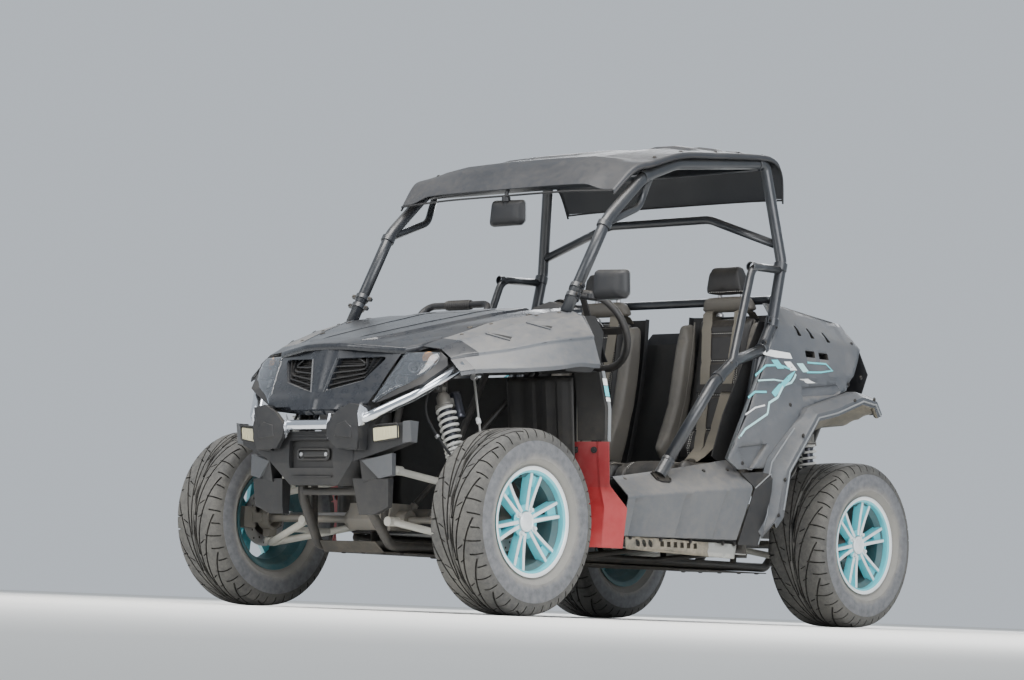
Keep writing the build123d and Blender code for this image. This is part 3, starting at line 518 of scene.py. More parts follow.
    def make(self, name, mats, body=BODY, slot=None, replaces=(), smooth=32,
             bevel=0.0, segments=2, fix=True, weld=0.0, limit=30):
        mesh = bpy.data.meshes.new(name)
        mesh.from_pydata([(x * MM, y * MM, z * MM) for x, y, z in self.v], [],
                         self.f)
        for mat in mats:
            mesh.materials.append(M[mat] if isinstance(mat, str) else mat)
        mesh.polygons.foreach_set("material_index", self.m)
        obj = bpy.data.objects.new(name, mesh)
        bpy.context.scene.collection.objects.link(obj)
        if fix or weld:
            bm = bmesh.new()
            bm.from_mesh(mesh)
            if weld:
                bmesh.ops.remove_doubles(bm, verts=bm.verts, dist=weld * MM)
            if fix:
                bmesh.ops.recalc_face_normals(bm, faces=bm.faces)
            bm.to_mesh(mesh)
            bm.free()
        mesh.shade_smooth()
        mesh.set_sharp_from_angle(angle=math.radians(smooth))
        if bevel:
            edge(obj, bevel, segments, limit)
        if replaces:
            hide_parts(*replaces)
        if body:
            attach(obj, body)
        return obj


def edge(obj, width, segments=2, limit=30):
    b = obj.modifiers.new("edges", "BEVEL")
    b.width = width * MM
    b.segments = segments
    b.limit_method = "ANGLE"
    b.angle_limit = math.radians(limit)
    b.use_clamp_overlap = True
    b.harden_normals = False
    w = obj.modifiers.new("normals", "WEIGHTED_NORMAL")
    w.keep_sharp = False
    w.weight = 60
    return obj


def dress(node, mat, width=1.5, segments=2):
    """A CAD node that stays: joined faces, eased edges and a real finish."""
    obj = NODES[node]
    obj.data.materials.clear()
    obj.data.materials.append(M[mat])
    for p in obj.data.polygons:
        p.use_smooth = True
    weld = obj.modifiers.new("join", "WELD")
    weld.merge_threshold = 0.00003
    if width:
        edge(obj, width, segments)
    return obj


def cut_mesh(outline, holes, spacing):
    """Triangles of an outline with holes, with inner points spacing apart."""
    def split(loop):
        out = []
        for i, a in enumerate(loop):
            b = loop[(i + 1) % len(loop)]
            n = max(1, int(math.dist(a, b) / spacing + 0.5))
            out += [(lerp(a[0], b[0], k / n), lerp(a[1], b[1], k / n))
                    for k in range(n)]
        return out

    def inside(p, loop):
        hit = False
        for i, a in enumerate(loop):
            b = loop[(i + 1) % len(loop)]
            if (a[1] > p[1]) != (b[1] > p[1]):
                x = a[0] + (p[1] - a[1]) * (b[0] - a[0]) / (b[1] - a[1])
                hit ^= x > p[0]
        return hit

    def near(p, loop, gap):
        for i, a in enumerate(loop):
            b = loop[(i + 1) % len(loop)]
            dx, dy = b[0] - a[0], b[1] - a[1]
            t = ((p[0] - a[0]) * dx + (p[1] - a[1]) * dy) / (dx * dx + dy * dy)
            t = min(1.0, max(0.0, t))
            if math.dist(p, (a[0] + dx * t, a[1] + dy * t)) < gap:
                return True
        return False

    loops = [split(outline)] + [split(h) for h in holes]
    pts, edges = [], []
    for loop in loops:
        n = len(pts)
        pts += loop
        edges += [(n + i, n + (i + 1) % len(loop)) for i in range(len(loop))]
    us = [p[0] for p in outline]
    vs = [p[1] for p in outline]
    row = 0
    v = min(vs) + spacing / 2
    while v < max(vs):
        u = min(us) + (spacing / 2 if row % 2 else 0)
        while u < max(us):
            p = (u, v)
            if inside(p, outline) and not any(inside(p, h) for h in holes) \
                    and not any(near(p, l, spacing * 0.55)
                                for l in [outline] + list(holes)):
                pts.append(p)
            u += spacing
        v += spacing * 0.87
        row += 1
    verts, _, tris, _, _, _ = delaunay_2d_cdt([Vector(p) for p in pts], edges,
                                              [], 0, 1e-6)
    keep = []
    for t in tris:
        c = (sum(verts[i][0] for i in t) / 3, sum(verts[i][1] for i in t) / 3)
        if inside(c, outline) and not any(inside(c, h) for h in holes):
            keep.append(tuple(t))
    used = sorted({i for t in keep for i in t})
    back = {i: k for k, i in enumerate(used)}
    return ([tuple(verts[i]) for i in used],
            [tuple(back[i] for i in t) for t in keep])


def thicken(obj, depth, offset=-1.0, rim=1.2, segments=2):
    """Gives a skin its wall and eases the cut edges."""
    s = obj.modifiers.new("wall", "SOLIDIFY")
    s.thickness = depth * MM
    s.offset = offset
    s.use_even_offset = True
    s.use_quality_normals = True
    if rim:
        edge(obj, rim, segments, 50)
    return obj


def skin(sections, corner=14.0, arc=4, step=26.0, runs=6):
    """Grid skin through (x, [(y, z), ...]) stations: smooth along x, with the
    profile's corners rounded. Returns verts and faces."""
    tracks = []
    count = len(sections[0][1])
    for k in range(count):
        tracks.append([Vector((x, pts[k][0], pts[k][1])) for x, pts in sections])
    fine = []
    for tr in tracks:
        out = []
        for i in range(len(tr) - 1):
            p0, p1, p2 = tr[max(i - 1, 0)], tr[i], tr[i + 1]
            p3 = tr[min(i + 2, len(tr) - 1)]
            n = max(1, int(round(abs(sections[i + 1][0] - sections[i][0]) / step)))
            h1 = p2.x - p1.x
            m1 = (p2 - p0) / (p2.x - p0.x) if i else (p2 - p1) / h1
            m2 = (p3 - p1) / (p3.x - p1.x) if i < len(tr) - 2 else (p2 - p1) / h1
            for q in range(n):
                t = q / n
                out.append(p1 * (2 * t ** 3 - 3 * t * t + 1)
                           + m1 * h1 * (t ** 3 - 2 * t * t + t)
                           + p2 * (3 * t * t - 2 * t ** 3)
                           + m2 * h1 * (t ** 3 - t * t))
        out.append(tr[-1])
        fine.append(out)
    stations = []
    for i in range(len(fine[0])):
        line = [tr[i] for tr in fine]
        arcs = [[line[0]]]
        for a, b, c in zip(line[:-2], line[1:-1], line[2:]):
            la, lc = (a - b).length, (c - b).length
            d1, d2 = (a - b).normalized(), (c - b).normalized()
            ang = d1.angle(d2, math.pi)
            want = corner / math.tan(ang / 2) if ang < math.pi - 0.05 else 1.0
            cut = min(max(want, 0.5), la * 0.46, lc * 0.46)
            s, e = b + d1 * cut, b + d2 * cut
            arcs.append([(s * (1 - t) ** 2) + (b * 2 * t * (1 - t)) + (e * t * t)
                         for t in (k / arc for k in range(arc + 1))])
        arcs.append([line[-1]])
        stations.append(arcs)
    counts = []
    for k in range(count - 1):
        far = max((st[k + 1][0] - st[k][-1]).length for st in stations)
        counts.append(max(1, min(runs, int(far / max(6.0, corner * 0.9)))))
    rows = []
    for arcs in stations:
        row = []
        for k in range(count - 1):
            row += arcs[k][:-1]
            a, b = arcs[k][-1], arcs[k + 1][0]
            row += [a.lerp(b, q / counts[k]) for q in range(counts[k])]
        row.append(arcs[-1][-1])
        rows.append(row)
    m = len(rows[0])
    assert all(len(r) == m for r in rows), [len(r) for r in rows]
    verts = [p for r in rows for p in r]
    faces = [(i * m + k, i * m + k + 1, (i + 1) * m + k + 1, (i + 1) * m + k)
             for i in range(len(rows) - 1) for k in range(m - 1)]
    return verts, faces




def sidewall_material():
    """Rubber with a dusty band next to the rim."""
    g = Graph("tyre_sidewall")
    x = g.math("SUBTRACT", g.math("ABSOLUTE", g.axis(0)), 1.02)
    z = g.math("SUBTRACT", g.axis(2), 0.33)
    r = g.math("SQRT", g.math("ADD", g.math("MULTIPLY", x, x),
                              g.math("MULTIPLY", z, z)))
    cloud = g.noise(16, 5, 0.65)
    band = g.ramp(g.math("ADD", r, g.math("MULTIPLY", cloud, 0.05)), 0.236, 0.272,
                  0.85, 0.0, smooth=True)
    base = g.mix(g.ramp(g.noise(40, 5, 0.6), 0.3, 0.7), srgb(84, 85, 88),
                 srgb(110, 111, 114))
    g.set(Base_Color=g.mix(band, base, srgb(136, 133, 127)),
          Roughness=g.blend(band, 0.62, 0.95))
    g.set(Normal=g.bump(g.noise(300, 4), 0.3, 0.0006))
    return g.mat


M["wall"] = sidewall_material()
M["machined"] = surface("machined_face", srgb(228, 232, 234), 0.34, metal=0.25,
                        vary=0.04, dust=0.06, up=0.08, grain=0.2)
# darker copy of the turquoise paint for the wheel barrel: painted shade inside the wheel
M["rim_shaded"] = surface("rim_inside_painted_shade", srgb(34, 82, 90), 0.5, vary=0.1, dust=0.12,
                        up=0.15, grain=0.3)
# near-black used as painted shade: the vent mouths and the shadow line in the fender fold
M["slit"] = surface("painted_shade_black", srgb(16, 17, 19), 0.7, dust=0.0, up=0.02)
M["sky"] = surface("turquoise_film", srgb(88, 196, 206), 0.38, vary=0.05, dust=0.12,
                   up=0.1, grain=0.3, coat=0.2)
M["ice"] = surface("pale_film", srgb(176, 222, 226), 0.4, vary=0.05, dust=0.12,
                   up=0.1, grain=0.3, coat=0.2)
M["white"] = surface("white_film", srgb(232, 234, 234), 0.4, vary=0.04, dust=0.14,
                     up=0.1, grain=0.3, coat=0.2)
M["tint"] = surface("tinted_film", srgb(104, 128, 136), 0.42, vary=0.08, dust=0.16,
                    up=0.2, grain=0.5, coat=0.15)
M["edge"] = surface("pale_edge", srgb(112, 117, 122), 0.5, vary=0.08, dust=0.12,
                    up=0.2, grain=0.6)
M["flare"] = surface("flare_grey", srgb(66, 70, 76), 0.46, vary=0.10, vary_scale=3.2,
                     dust=0.04, up=0.12, low=0.10, grain=0.8, scuff=0.10)
M["olive"] = surface("dusty_under", srgb(92, 90, 82), 0.75, vary=0.15, dust=0.35,
                     up=0.2, low=0.3, grain=1.2)

# ------------------------------------------------------------------ wheels
AXLE_X, AXLE_Z = 1020.0, 330.0
CORNERS = {
    "front_left": (AXLE_X, 640.5, 1, 229.0),
    "front_right": (AXLE_X, -640.5, -1, 229.0),
    "rear_left": (-AXLE_X, 615.5, 1, 279.0),
    "rear_right": (-AXLE_X, -615.5, -1, 279.0),
}
TREAD_COUNT = 14


class Profile:
    """Half section of the tread, measured along its surface."""

    def __init__(self, h):
        line = smooth_line([(0, 330, 0), (0.4 * h, 329.2, 0), (0.70 * h, 326.6, 0),
                            (0.84 * h, 320, 0), (0.93 * h, 304, 0),
                            (0.972 * h, 284, 0)], 3.0)
        self.pts = [(p.x, p.y) for p in line]
        self.run = [0.0]
        for a, b in zip(self.pts[:-1], self.pts[1:]):
            self.run.append(self.run[-1] + math.dist(a, b))
        self.total = self.run[-1]

    def at(self, a):
        a = min(max(a, 0.0), self.total - 1e-6)
        i = max(0, int(np.searchsorted(self.run, a, "right")) - 1)
        i = min(i, len(self.pts) - 2)
        t = (a - self.run[i]) / (self.run[i + 1] - self.run[i])
        (y0, r0), (y1, r1) = self.pts[i], self.pts[i + 1]
        dy, dr = y1 - y0, r1 - r0
        size = math.hypot(dy, dr)
        return lerp(y0, y1, t), lerp(r0, r1, t), -dr / size, dy / size


def tread_pattern(total, pitch):
    """One pitch of one side: points and triangles in (s, a), True on a block."""
    a0, a1, run = 10.0, 0.72 * total, 3.0 * pitch
    lines = []                       # (points, half width)
    for k in range(-4, 2):
        pts = []
        for q in range(23):
            a = lerp(a0, a1, (q / 22) ** 1.6)
            s = k * pitch + run * ((a - a0) / (a1 - a0)) ** 0.42
            pts.append((s, a))
        lines.append((pts, 3.3))
    third = pitch / 3
    for k in range(-4, 6):
        start = (0.56, 0.44, 0.66)[k % 3] * total
        pts = []
        for q in range(8):
            a = lerp(start, total - 15, q / 7)
            pts.append((k * third + 10 + 0.16 * (total - a)
                        - 10 * ((total - a) / total) ** 2, a))
        lines.append((pts, 2.8))
    for k in range(-4, 6):
        pts = [(k * third + 40, 0.22 * total), (k * third + 52, 0.36 * total)]
        if k % 3 != 1:
            lines.append((pts, 2.2))
    lines.append(([(-30, 0), (pitch + 30, 0)], 2.4))

    def seg_gap(p, a, b):
        dx, dy = b[0] - a[0], b[1] - a[1]
        t = ((p[0] - a[0]) * dx + (p[1] - a[1]) * dy) / (dx * dx + dy * dy)
        t = min(1.0, max(0.0, t))
        return math.hypot(p[0] - a[0] - dx * t, p[1] - a[1] - dy * t)

    pts, edges = [], []

    def chain(seq, close=False):
        n = len(pts)
        pts.extend(seq)
        edges.extend((n + i, n + i + 1) for i in range(len(seq) - 1))
        if close:
            edges.append((n + len(seq) - 1, n))

    for line, hw in lines:
        left, right = [], []
        for i, p in enumerate(line):
            a = line[max(i - 1, 0)]
            b = line[min(i + 1, len(line) - 1)]
            dx, dy = b[0] - a[0], b[1] - a[1]
            size = math.hypot(dx, dy)
            nx, ny = -dy / size * hw, dx / size * hw
            left.append((p[0] + nx, p[1] + ny))
            right.append((p[0] - nx, p[1] - ny))
        chain(left + right[::-1], True)
    n = int(pitch / 10)
    chain([(pitch * i / n, 0.0) for i in range(n + 1)])
    chain([(pitch * i / n, total) for i in range(n + 1)])
    m = int(total / 10)
    chain([(0.0, total * i / m) for i in range(m + 1)])
    chain([(pitch, total * i / m) for i in range(m + 1)])
    for i in range(1, n):
        for j in range(1, m):
            pts.append((pitch * i / n, total * j / m + (3.0 if i % 2 else 0)))
    verts, _, tris, _, _, _ = delaunay_2d_cdt([Vector(p) for p in pts], edges,
                                              [], 0, 1e-5)
    out = []
    for t in tris:
        c = (sum(verts[i][0] for i in t) / 3, sum(verts[i][1] for i in t) / 3)
        if not (0 < c[0] < pitch and 0 < c[1] < total):
            continue
        cut = any(min(seg_gap(c, a, b) for a, b in zip(l[:-1], l[1:])) < hw
                  for l, hw in lines)
        out.append((tuple(t), not cut))
    return [tuple(v) for v in verts], out


PATTERNS = {}


def make_tyre(corner):
    x, yc, side, width = CORNERS[corner]
    h = width / 2 - 0.5
    pitch = 2 * math.pi * 330 / TREAD_COUNT
    if width not in PATTERNS:
        prof = Profile(h)
        PATTERNS[width] = (prof,) + tread_pattern(prof.total, pitch)
    prof, verts, tris = PATTERNS[width]
    depth = 8.0
    b = Build()
    for sgn in (1, -1):
        top, low = {}, {}
        vs, fs, ms = [], [], []

        def vertex(k, i, down):
            book = low if down else top
            key = (round(((verts[i][0] + k * pitch) % (pitch * TREAD_COUNT)) * 50),
                   round(verts[i][1] * 50))
            if key not in book:
                s, a = verts[i][0] + k * pitch, verts[i][1]
                y, r, ny, nr = prof.at(a)
                d = depth * min(1.0, (prof.total - a) / 14 + 0.05) if down else 0.0
                y, r = y - ny * d, r - nr * d
                t = s / 330.0 + (0.5 * pitch / 330.0 if sgn < 0 else 0.0)
                book[key] = len(vs)
                vs.append((x + r * math.cos(t), yc + sgn * y,
                           AXLE_Z + r * math.sin(t)))
            return book[key]

        border = {}
        for (t, land) in tris:
            for i in range(3):
                e = (t[i], t[(i + 1) % 3])
                border.setdefault(tuple(sorted(e)), []).append((e, land))
        walls = [[p[0] for p in pair if p[1]][0] for pair in border.values()
                 if len(pair) == 2 and pair[0][1] != pair[1][1]]
        # groove floors and walls take the darker groove colour: painted shade in the
        # tread grooves, with dust
        for k in range(TREAD_COUNT):
            for t, land in tris:
                f = tuple(vertex(k, i, not land) for i in t)
                fs.append(f)
                ms.append(0 if land else 1)
            for e in walls:
                p, q = e
                fs.append((vertex(k, q, False), vertex(k, p, False),
                           vertex(k, p, True), vertex(k, q, True)))
                ms.append(1)
        if sgn > 0:
            fs = [f[::-1] for f in fs]
        n = len(b.v)
        b.v += vs
        b.f += [tuple(i + n for i in f) for f in fs]
        b.m += ms
        # sidewall with a rim guard rib
        y0, r0, ny, nr = prof.at(prof.total)
        wall = [(y0 - 3, r0 + 2), (y0, r0 - 0.5), (0.992 * h, 268), (h, 254),
                (0.997 * h, 243), (0.984 * h, 233), (0.970 * h, 227),
                (0.975 * h, 224.5), (0.974 * h, 220), (0.948 * h, 217),
                (0.905 * h, 211), (0.85 * h, 205), (h - 25.5, 199),
                (h - 26.5, 190)]
        b.lathe([(sgn * a, r) for a, r in wall], (x, yc, AXLE_Z), (0, 1, 0),
                96, 2)
    # inner face closes the carcass
    b.lathe([(-(h - 26.5), 190), (-(h - 30), 181), (h - 30, 181),
             (h - 26.5, 190)], (x, yc, AXLE_Z), (0, 1, 0), 64, 1)
    return b.make("tyre_" + corner + "_tread", ["tyre", "groove", "wall"],
                  "wheel_" + corner, "tyre", ["tyre_" + corner], smooth=40,
                  fix=False)


SPOKES = (103, 43, -17, -77, -137, 163)


def make_rim(corner):
    x, yc, side, width = CORNERS[corner]
    body = "wheel_" + corner
    e = width / 2 - 25.5
    o = (x, yc, AXLE_Z)
    out = (0, side, 0)
    b = Build()
    # barrel, open to both sides; lip and flange are machined bright
    b.lathe([(e - 21, 178.5), (e - 0.5, 179), (e, 184), (e + 1, 192),
             (e + 3, 194.6), (e + 6.5, 195)], o, out, 96, 0)
    b.lathe([(e + 6.5, 195), (e + 7.5, 192.5), (e + 7, 187.5),
             (e + 3, 181)], o, out, 96, 1)
    b.lathe([(e + 3, 181), (e - 2, 173.5), (e - 10, 172), (e - 22, 172)], o, out,
            96, 0)
    # barrel body in the darker turquoise, painted shade inside the wheel
    b.lathe([(e - 22, 172), (e - 30, 166), (e - 40, 156), (-e + 40, 154), (-e + 24, 168),
             (-e + 4, 173), (-e - 6, 186), (-e - 6.4, 194), (-e - 2, 194.6),
             (-e, 184), (-e + 18, 178.5), (-e + 34, 162), (e - 40, 162),
             (e - 21, 178.5)], o, out, 96, 5)
    base = 701.5 - abs(yc)                 # spoke plane from the wheel centre
    w = Vector(out)
    for ang in SPOKES:
        t = math.radians(ang)
        u = Vector((math.cos(t), 0, math.sin(t)))
        v = w.cross(u) * side
        for k in (1, -1):
            rings_s, rings_t = [], []
            for q in range(9):
                s = q / 8
                rad = lerp(40, 175, s)
                mid = k * lerp(8.5, 26, s ** 1.15)
                top = base + 3 + 10 * s ** 2
                if q == 8:
                    top -= 2
                half = lerp(5.8, 4.8, s)
                deep = lerp(26, 34, s)
                c = Vector(o) + u * rad + w * top
                rings_s.append([c + v * (mid + p) + w * d for p, d in (
                    (-half - 1.3, -2.2), (-half, 0), (half, 0),
                    (half + 1.3, -2.2), (half + 0.8, -3), (-half - 0.8, -3))])
                lo = half + 1.4 + 6.5
                rings_t.append([c + v * (mid + p) + w * d for p, d in (
                    (-half - 0.9, -2.4), (half + 0.9, -2.4),
                    (half + 3.2, -9), (lo, -deep), (-lo, -deep),
                    (-half - 3.2, -9))])
            b.loft(rings_s, 1)
            b.loft(rings_t, 0)
        # web between the two legs near the lip
        web = []
        for q in range(4):
            s = q / 3
            rad = lerp(128, 174, s)
            half = lerp(17, 24, s)
            top = base + 3 + 10 * ((rad - 40) / 135) ** 2 - 13
            c = Vector(o) + u * rad + w * top
            web.append([c - v * half, c + v * half, c + v * half - w * 12,
                        c - v * half - w * 12])
        b.loft(web, 0)
    # hub, cap and nuts
    b.lathe([(base - 30, 46), (base - 8, 60), (base - 1, 61), (base + 1.5, 58),
             (base + 2, 38)], o, out, 60, 0)
    b.lathe([(base - 2, 36), (base + 7, 35.5), (base + 9, 33), (base + 8, 30),
             (base + 6.5, 28.5), (base + 8.5, 25), (base + 10.4, 14),
             (base + 10.8, 1)], o, out, 48, 1)
    for k in range(4):
        t = math.radians(SPOKES[0] + 15 + 90 * k)
        c = Vector(o) + Vector((math.cos(t), 0, math.sin(t))) * 48 + w * base
        b.lathe([(-2, 11), (3, 11), (3.2, 8)], c, w, 18, 1)
        b.bolt(c + w * 2, w, 8, 10, 1)
    # brake disc and bell
    d = 606 - abs(yc)
    b.lathe([(d - 3, 62), (d - 3, 105), (d + 3, 105), (d + 3, 62)], o, out, 60,
            2, closed=True)
    b.lathe([(d, 66), (d + 4, 62), (d + 12, 60), (base - 26, 44),
             (base - 26, 20)], o, out, 48, 3)
    for k in range(10):
        t = 2 * math.pi * k / 10
        for r in (76, 92):
            c = Vector(o) + Vector((math.cos(t + r), 0, math.sin(t + r))) * r
            b.lathe([(d - 3.3, 0.6), (d - 3.3, 4), (d + 3.3, 4), (d + 3.3, 0.6)],
                    c, out, 10, 4)
    # valve
    t = math.radians(73)
    c = Vector(o) + Vector((math.cos(t), 0, math.sin(t))) * 166
    b.tube([c + w * (e - 36), c + w * (e - 14)], 3.2, 10, 4)
    return b.make("rim_" + corner + "_spokes",
                  ["rim", "machined", "steel", "cast", "bolt", "rim_shaded"], body,
                  "rim",
                  ["rim_" + corner], smooth=38, fix=True)


for corner in CORNERS:
    make_tyre(corner)
    make_rim(corner)


# ------------------------------------------------------------------ shocks
def make_shock(name, low, top, reservoir, node):
    b = Build()
    for s in (1, -1):
        lo = Vector((low[0], low[1] * s, low[2]))
        hi = Vector((top[0], top[1] * s, top[2]))
        d = (hi - lo).normalized()
        size = (hi - lo).length
        u, v = frame_of(d)

        def at(k):
            return lo + d * (size * k)
        for p in (lo, hi):
            b.lathe([(-12, 8), (-12, 15), (12, 15), (12, 8)], p, (1, 0, 0), 24,
                    3)
            b.lathe([(-16, 1), (-16, 8), (16, 8), (16, 1)], p, (1, 0, 0), 12, 4)
            b.bolt(p + Vector((-16, 0, 0)), (-1, 0, 0), 8, 5, 4)
            b.bolt(p + Vector((16, 0, 0)), (1, 0, 0), 8, 5, 4)
        # clevis, shaft, bump stop, body, preload threads
        b.lathe([(0, 12), (22, 14), (30, 20), (34, 34), (38, 36), (41, 36),
                 (42, 20)], lo + d * 4, d, 32, 3, cap0=True)
        b.tube([at(0.12), at(0.5)], 8, 16, 4)
        b.lathe([(0, 10), (4, 15), (10, 13), (16, 16), (22, 12)], at(0.16), d,
                20, 5)
        rings = []
        k0 = at(0.40)
        for q in range(30):
            rings.append((q * 5.2, 21.5 if q % 2 else 23.0))
        b.lathe([(-6, 14), (-2, 22)] + rings, k0, d, 28, 2)
        for k, r in ((0.775, 36), (0.80, 35)):
            b.lathe([(-3, 22), (-3, r), (3, r), (3, 22)], at(k), d, 28, 3)
        b.lathe([(-4, 23), (0, 26), (34, 25), (44, 18), (52, 13)], at(0.80), d,
                28, 3, cap1=True)
        # two-rate spring: tight turns at the bottom
        start, end = 44.0, size * 0.765
        tight, open_turns = 4.0, 6.5
        per = 22
        total = int((tight + open_turns) * per)
        path = []
        zt = tight * 14.5
        for i in range(total + 1):
            turn = i / per
            if turn < tight:
                z = start + turn * 14.5
            else:
                z = lerp(start + zt, end, (turn - tight) / open_turns)
            a = turn * 2 * math.pi
            path.append(lo + d * z + (u * math.cos(a) + v * math.sin(a)) * 31.5)
        b.tube(path, 5.6, 9, 0)
        # reservoir
        if reservoir:
            off = Vector((reservoir[0], reservoir[1] * s, reservoir[2]))
            r0, r1 = at(0.66) + off, at(0.97) + off
            b.lathe([(0, 4), (0, 19), (4, 22), (14, 22), (15, 20.5), (16, 22),
                     ((r1 - r0).length - 12, 22), ((r1 - r0).length - 11, 20),
                     ((r1 - r0).length - 8, 22), ((r1 - r0).length - 2, 20),
                     ((r1 - r0).length, 5)], r0, d, 28, 1)
            b.prism([(-9, -10), (9, -10), (9, 10), (-9, 10)], at(0.86), d,
                    off.cross(d).normalized(), off.normalized(), off.length, 3)
    return b.make(name, ["spring", "damper", "damper", "cast", "steel",
                         "black"], BODY, "shock_metal", [node], smooth=38)


make_shock("front_coil_overs", (1080, 438, 490), (1080, 330, 800),
           (-60, 6, 0), "front_shocks")
make_shock("rear_coil_overs", (-1081, 408, 474), (-1081, 398, 815),
           (58, 0, 0), "rear_shocks")

# ------------------------------------------------------------------ front body
def ground_of(verts, faces):
    """Finds where a line meets a skin: point and outward normal, in mm."""
    tree = BVHTree.FromPolygons([Vector(v) for v in verts], faces)

    def at(x, y, z=3000.0, way=(0, 0, -1)):
        p, n, _, _ = tree.ray_cast(Vector((x, y, z)), Vector(way))
        if p is None:
            return Vector((x, y, 0)), Vector((0, 0, 1))
        return p, (n if n.dot(Vector(way)) < 0 else -n)
    return at


def wall(obj, depth, inner=0, offset=-1.0, rim=1.2):
    """Wall of a skin whose inner side takes a later material."""
    s = obj.modifiers.new("wall", "SOLIDIFY")
    s.thickness = depth * MM
    s.offset = offset
    s.use_even_offset = True
    s.use_quality_normals = True
    s.material_offset = inner
    if rim:
        edge(obj, rim, 2, 50)
    return obj


def patch(b, at, outline_xy, lift, depth, mat=0, sink=0.0):
    """Small raised or dark plate lying on a skin, given by its (x, y) outline."""
    top, low = [], []
    for x, y in outline_xy:
        p, n = at(x, y)
        top.append(p + n * lift)
        low.append(p - n * depth)
    b.loft([low, top], mat)
    return b


FENDER = [(1196, (338, 942), (425, 925), (478, 894), (524, 848), (528, 832)),
          (1154, (348, 962), (430, 945), (502, 910), (556, 858), (560, 843)),
          (1095, (371, 984), (455, 968), (552, 924), (604, 865), (608, 850)),
          (1010, (393, 1016), (485, 998), (604, 943), (678, 873), (682, 858)),
          (900, (417, 1057), (510, 1036), (658, 974), (724, 889), (728, 874)),
          (800, (467, 1083), (560, 1060), (694, 994), (742, 908), (745, 893)),
          (700, (511, 1108), (600, 1080), (706, 1010), (747, 912), (749, 896)),
          (625, (535, 1124), (625, 1092), (706, 1018), (738, 936), (740, 918))]


def make_fender(side, sign):
    rows = []
    for x, a, b_, c, d, e in FENDER:
        # the crown bulges a little between its edges, and steps at the crease
        step = 9.0 if x < 1160 else 4.0
        rows.append((x, [a, (b_[0] + 4, b_[1] + 5), (c[0], c[1] + 2),
                         (c[0] - 1.0, c[1] - step),
                         (lerp(c[0], d[0], 0.86) - 1, lerp(c[1], d[1], 0.86) + 1),
                         (d[0] + 1, d[1]), e]))
    verts, faces = skin(rows, corner=11.0, arc=3, step=22.0, runs=5)
    # raked rear edge: rows behind it are pulled forward onto the edge line
    rake = ((480, 640), (535, 641), (610, 652), (690, 682), (765, 700))

    def limit(y):
        for (y0, x0), (y1, x1) in zip(rake[:-1], rake[1:]):
            if y0 <= y <= y1:
                return lerp(x0, x1, (y - y0) / (y1 - y0))
        return rake[0][1] if y < rake[0][0] else rake[-1][1]
    at = ground_of(verts, faces)
    pushed = []
    for v in verts:
        v = Vector(v)
        edge_x = limit(v.y)
        if v.x < edge_x:
            v = Vector((edge_x + (v.x - edge_x) * 0.02, v.y, v.z
                        - 0.19 * max(0.0, edge_x - v.x) * 0.6))
        pushed.append(v)
    verts = pushed
    b = Build()
    b.add([(v[0], v[1] * sign, v[2]) for v in verts], faces)
    for i, f in enumerate(faces):
        c = sum((verts[k] for k in f), Vector()) / 4
        flat = (verts[f[1]] - verts[f[0]]).length
        line = lerp(0, 1, (c.x - 560) / 640)
        crease = None
        for (x0, *p0), (x1, *p1) in zip(FENDER[:-1], FENDER[1:]):
            if x1 <= c.x <= x0:
                t = (c.x - x1) / (x0 - x1)
                crease = (lerp(p1[2][0], p0[2][0], t), lerp(p1[2][1], p0[2][1], t),
                          lerp(p1[3][0], p0[3][0], t), lerp(p1[3][1], p0[3][1], t))
        if crease is None:
            continue
        cy, cz, dy, dz = crease
        if c.y < cy + 1 and c.x > 1120:
            b.m[i] = 1
        elif c.x > 1150 and c.y > cy:
            b.m[i] = 1
        elif c.z < dz - 2 and c.y > cy + 20:
            b.m[i] = 3
    piece = b.make("front_fender_%s_skin" % side,
                   ["panel", "hood", "groove", "facet", "liner"],
                   replaces=("front_fender_" + side,), smooth=38, fix=False)
    if sign < 0:
        piece.data.flip_normals()
    up = sum(p.normal.z for p in piece.data.polygons)
    if up < 0:
        piece.data.flip_normals()
    wall(piece, 4.0, 4, rim=1.0)
    at = ground_of(verts, faces)
    d = Build()
    # two louvred vents on top: a raised wedge with a dark mouth behind it; the mouth is a
    # near-black plate of painted shade
    for x, y in ((1001, 500), (838, 548)):
        pts = [(x + 20, y - 14), (x - 16, y + 66), (x - 34, y + 60), (x + 8, y - 16)]
        patch(d, at, pts, 0.7, 3, 1)
        pts = [(x + 27, y - 15), (x - 10, y + 70), (x - 15, y + 68), (x + 20, y - 16)]
        patch(d, at, pts, 5.0, 3, 0)
    # shadow line in the fold above the lower band
    fold = []
    for x in range(700, 1101, 20):
        for (x0, *p0), (x1, *p1) in zip(FENDER[:-1], FENDER[1:]):
            if x1 <= x <= x0:
                t = (x - x1) / (x0 - x1)
                fold.append(Vector((x, lerp(p1[2][0], p0[2][0], t) - 1.5,
                                    lerp(p1[2][1], p0[2][1], t) - 2.0)))
                break
    d.tube(fold, 1.5, 6, 1)
    # push-in clips near the inner edge
    for x, y in ((1060, 402), (930, 424), (770, 500), (690, 540)):
        p, n = at(x, y)
        d.lathe([(-1, 7), (1.6, 7), (2.6, 5), (2.8, 0.5)], p, n, 14, 2)
    if sign < 0:
        d.v = [(x, -y, z) for x, y, z in d.v]
    d.make("front_fender_%s_vents" % side, ["panel", "slit", "bolt"],
           slot="grey_panel")


for side, sign in (("left", 1), ("right", -1)):
    make_fender(side, sign)

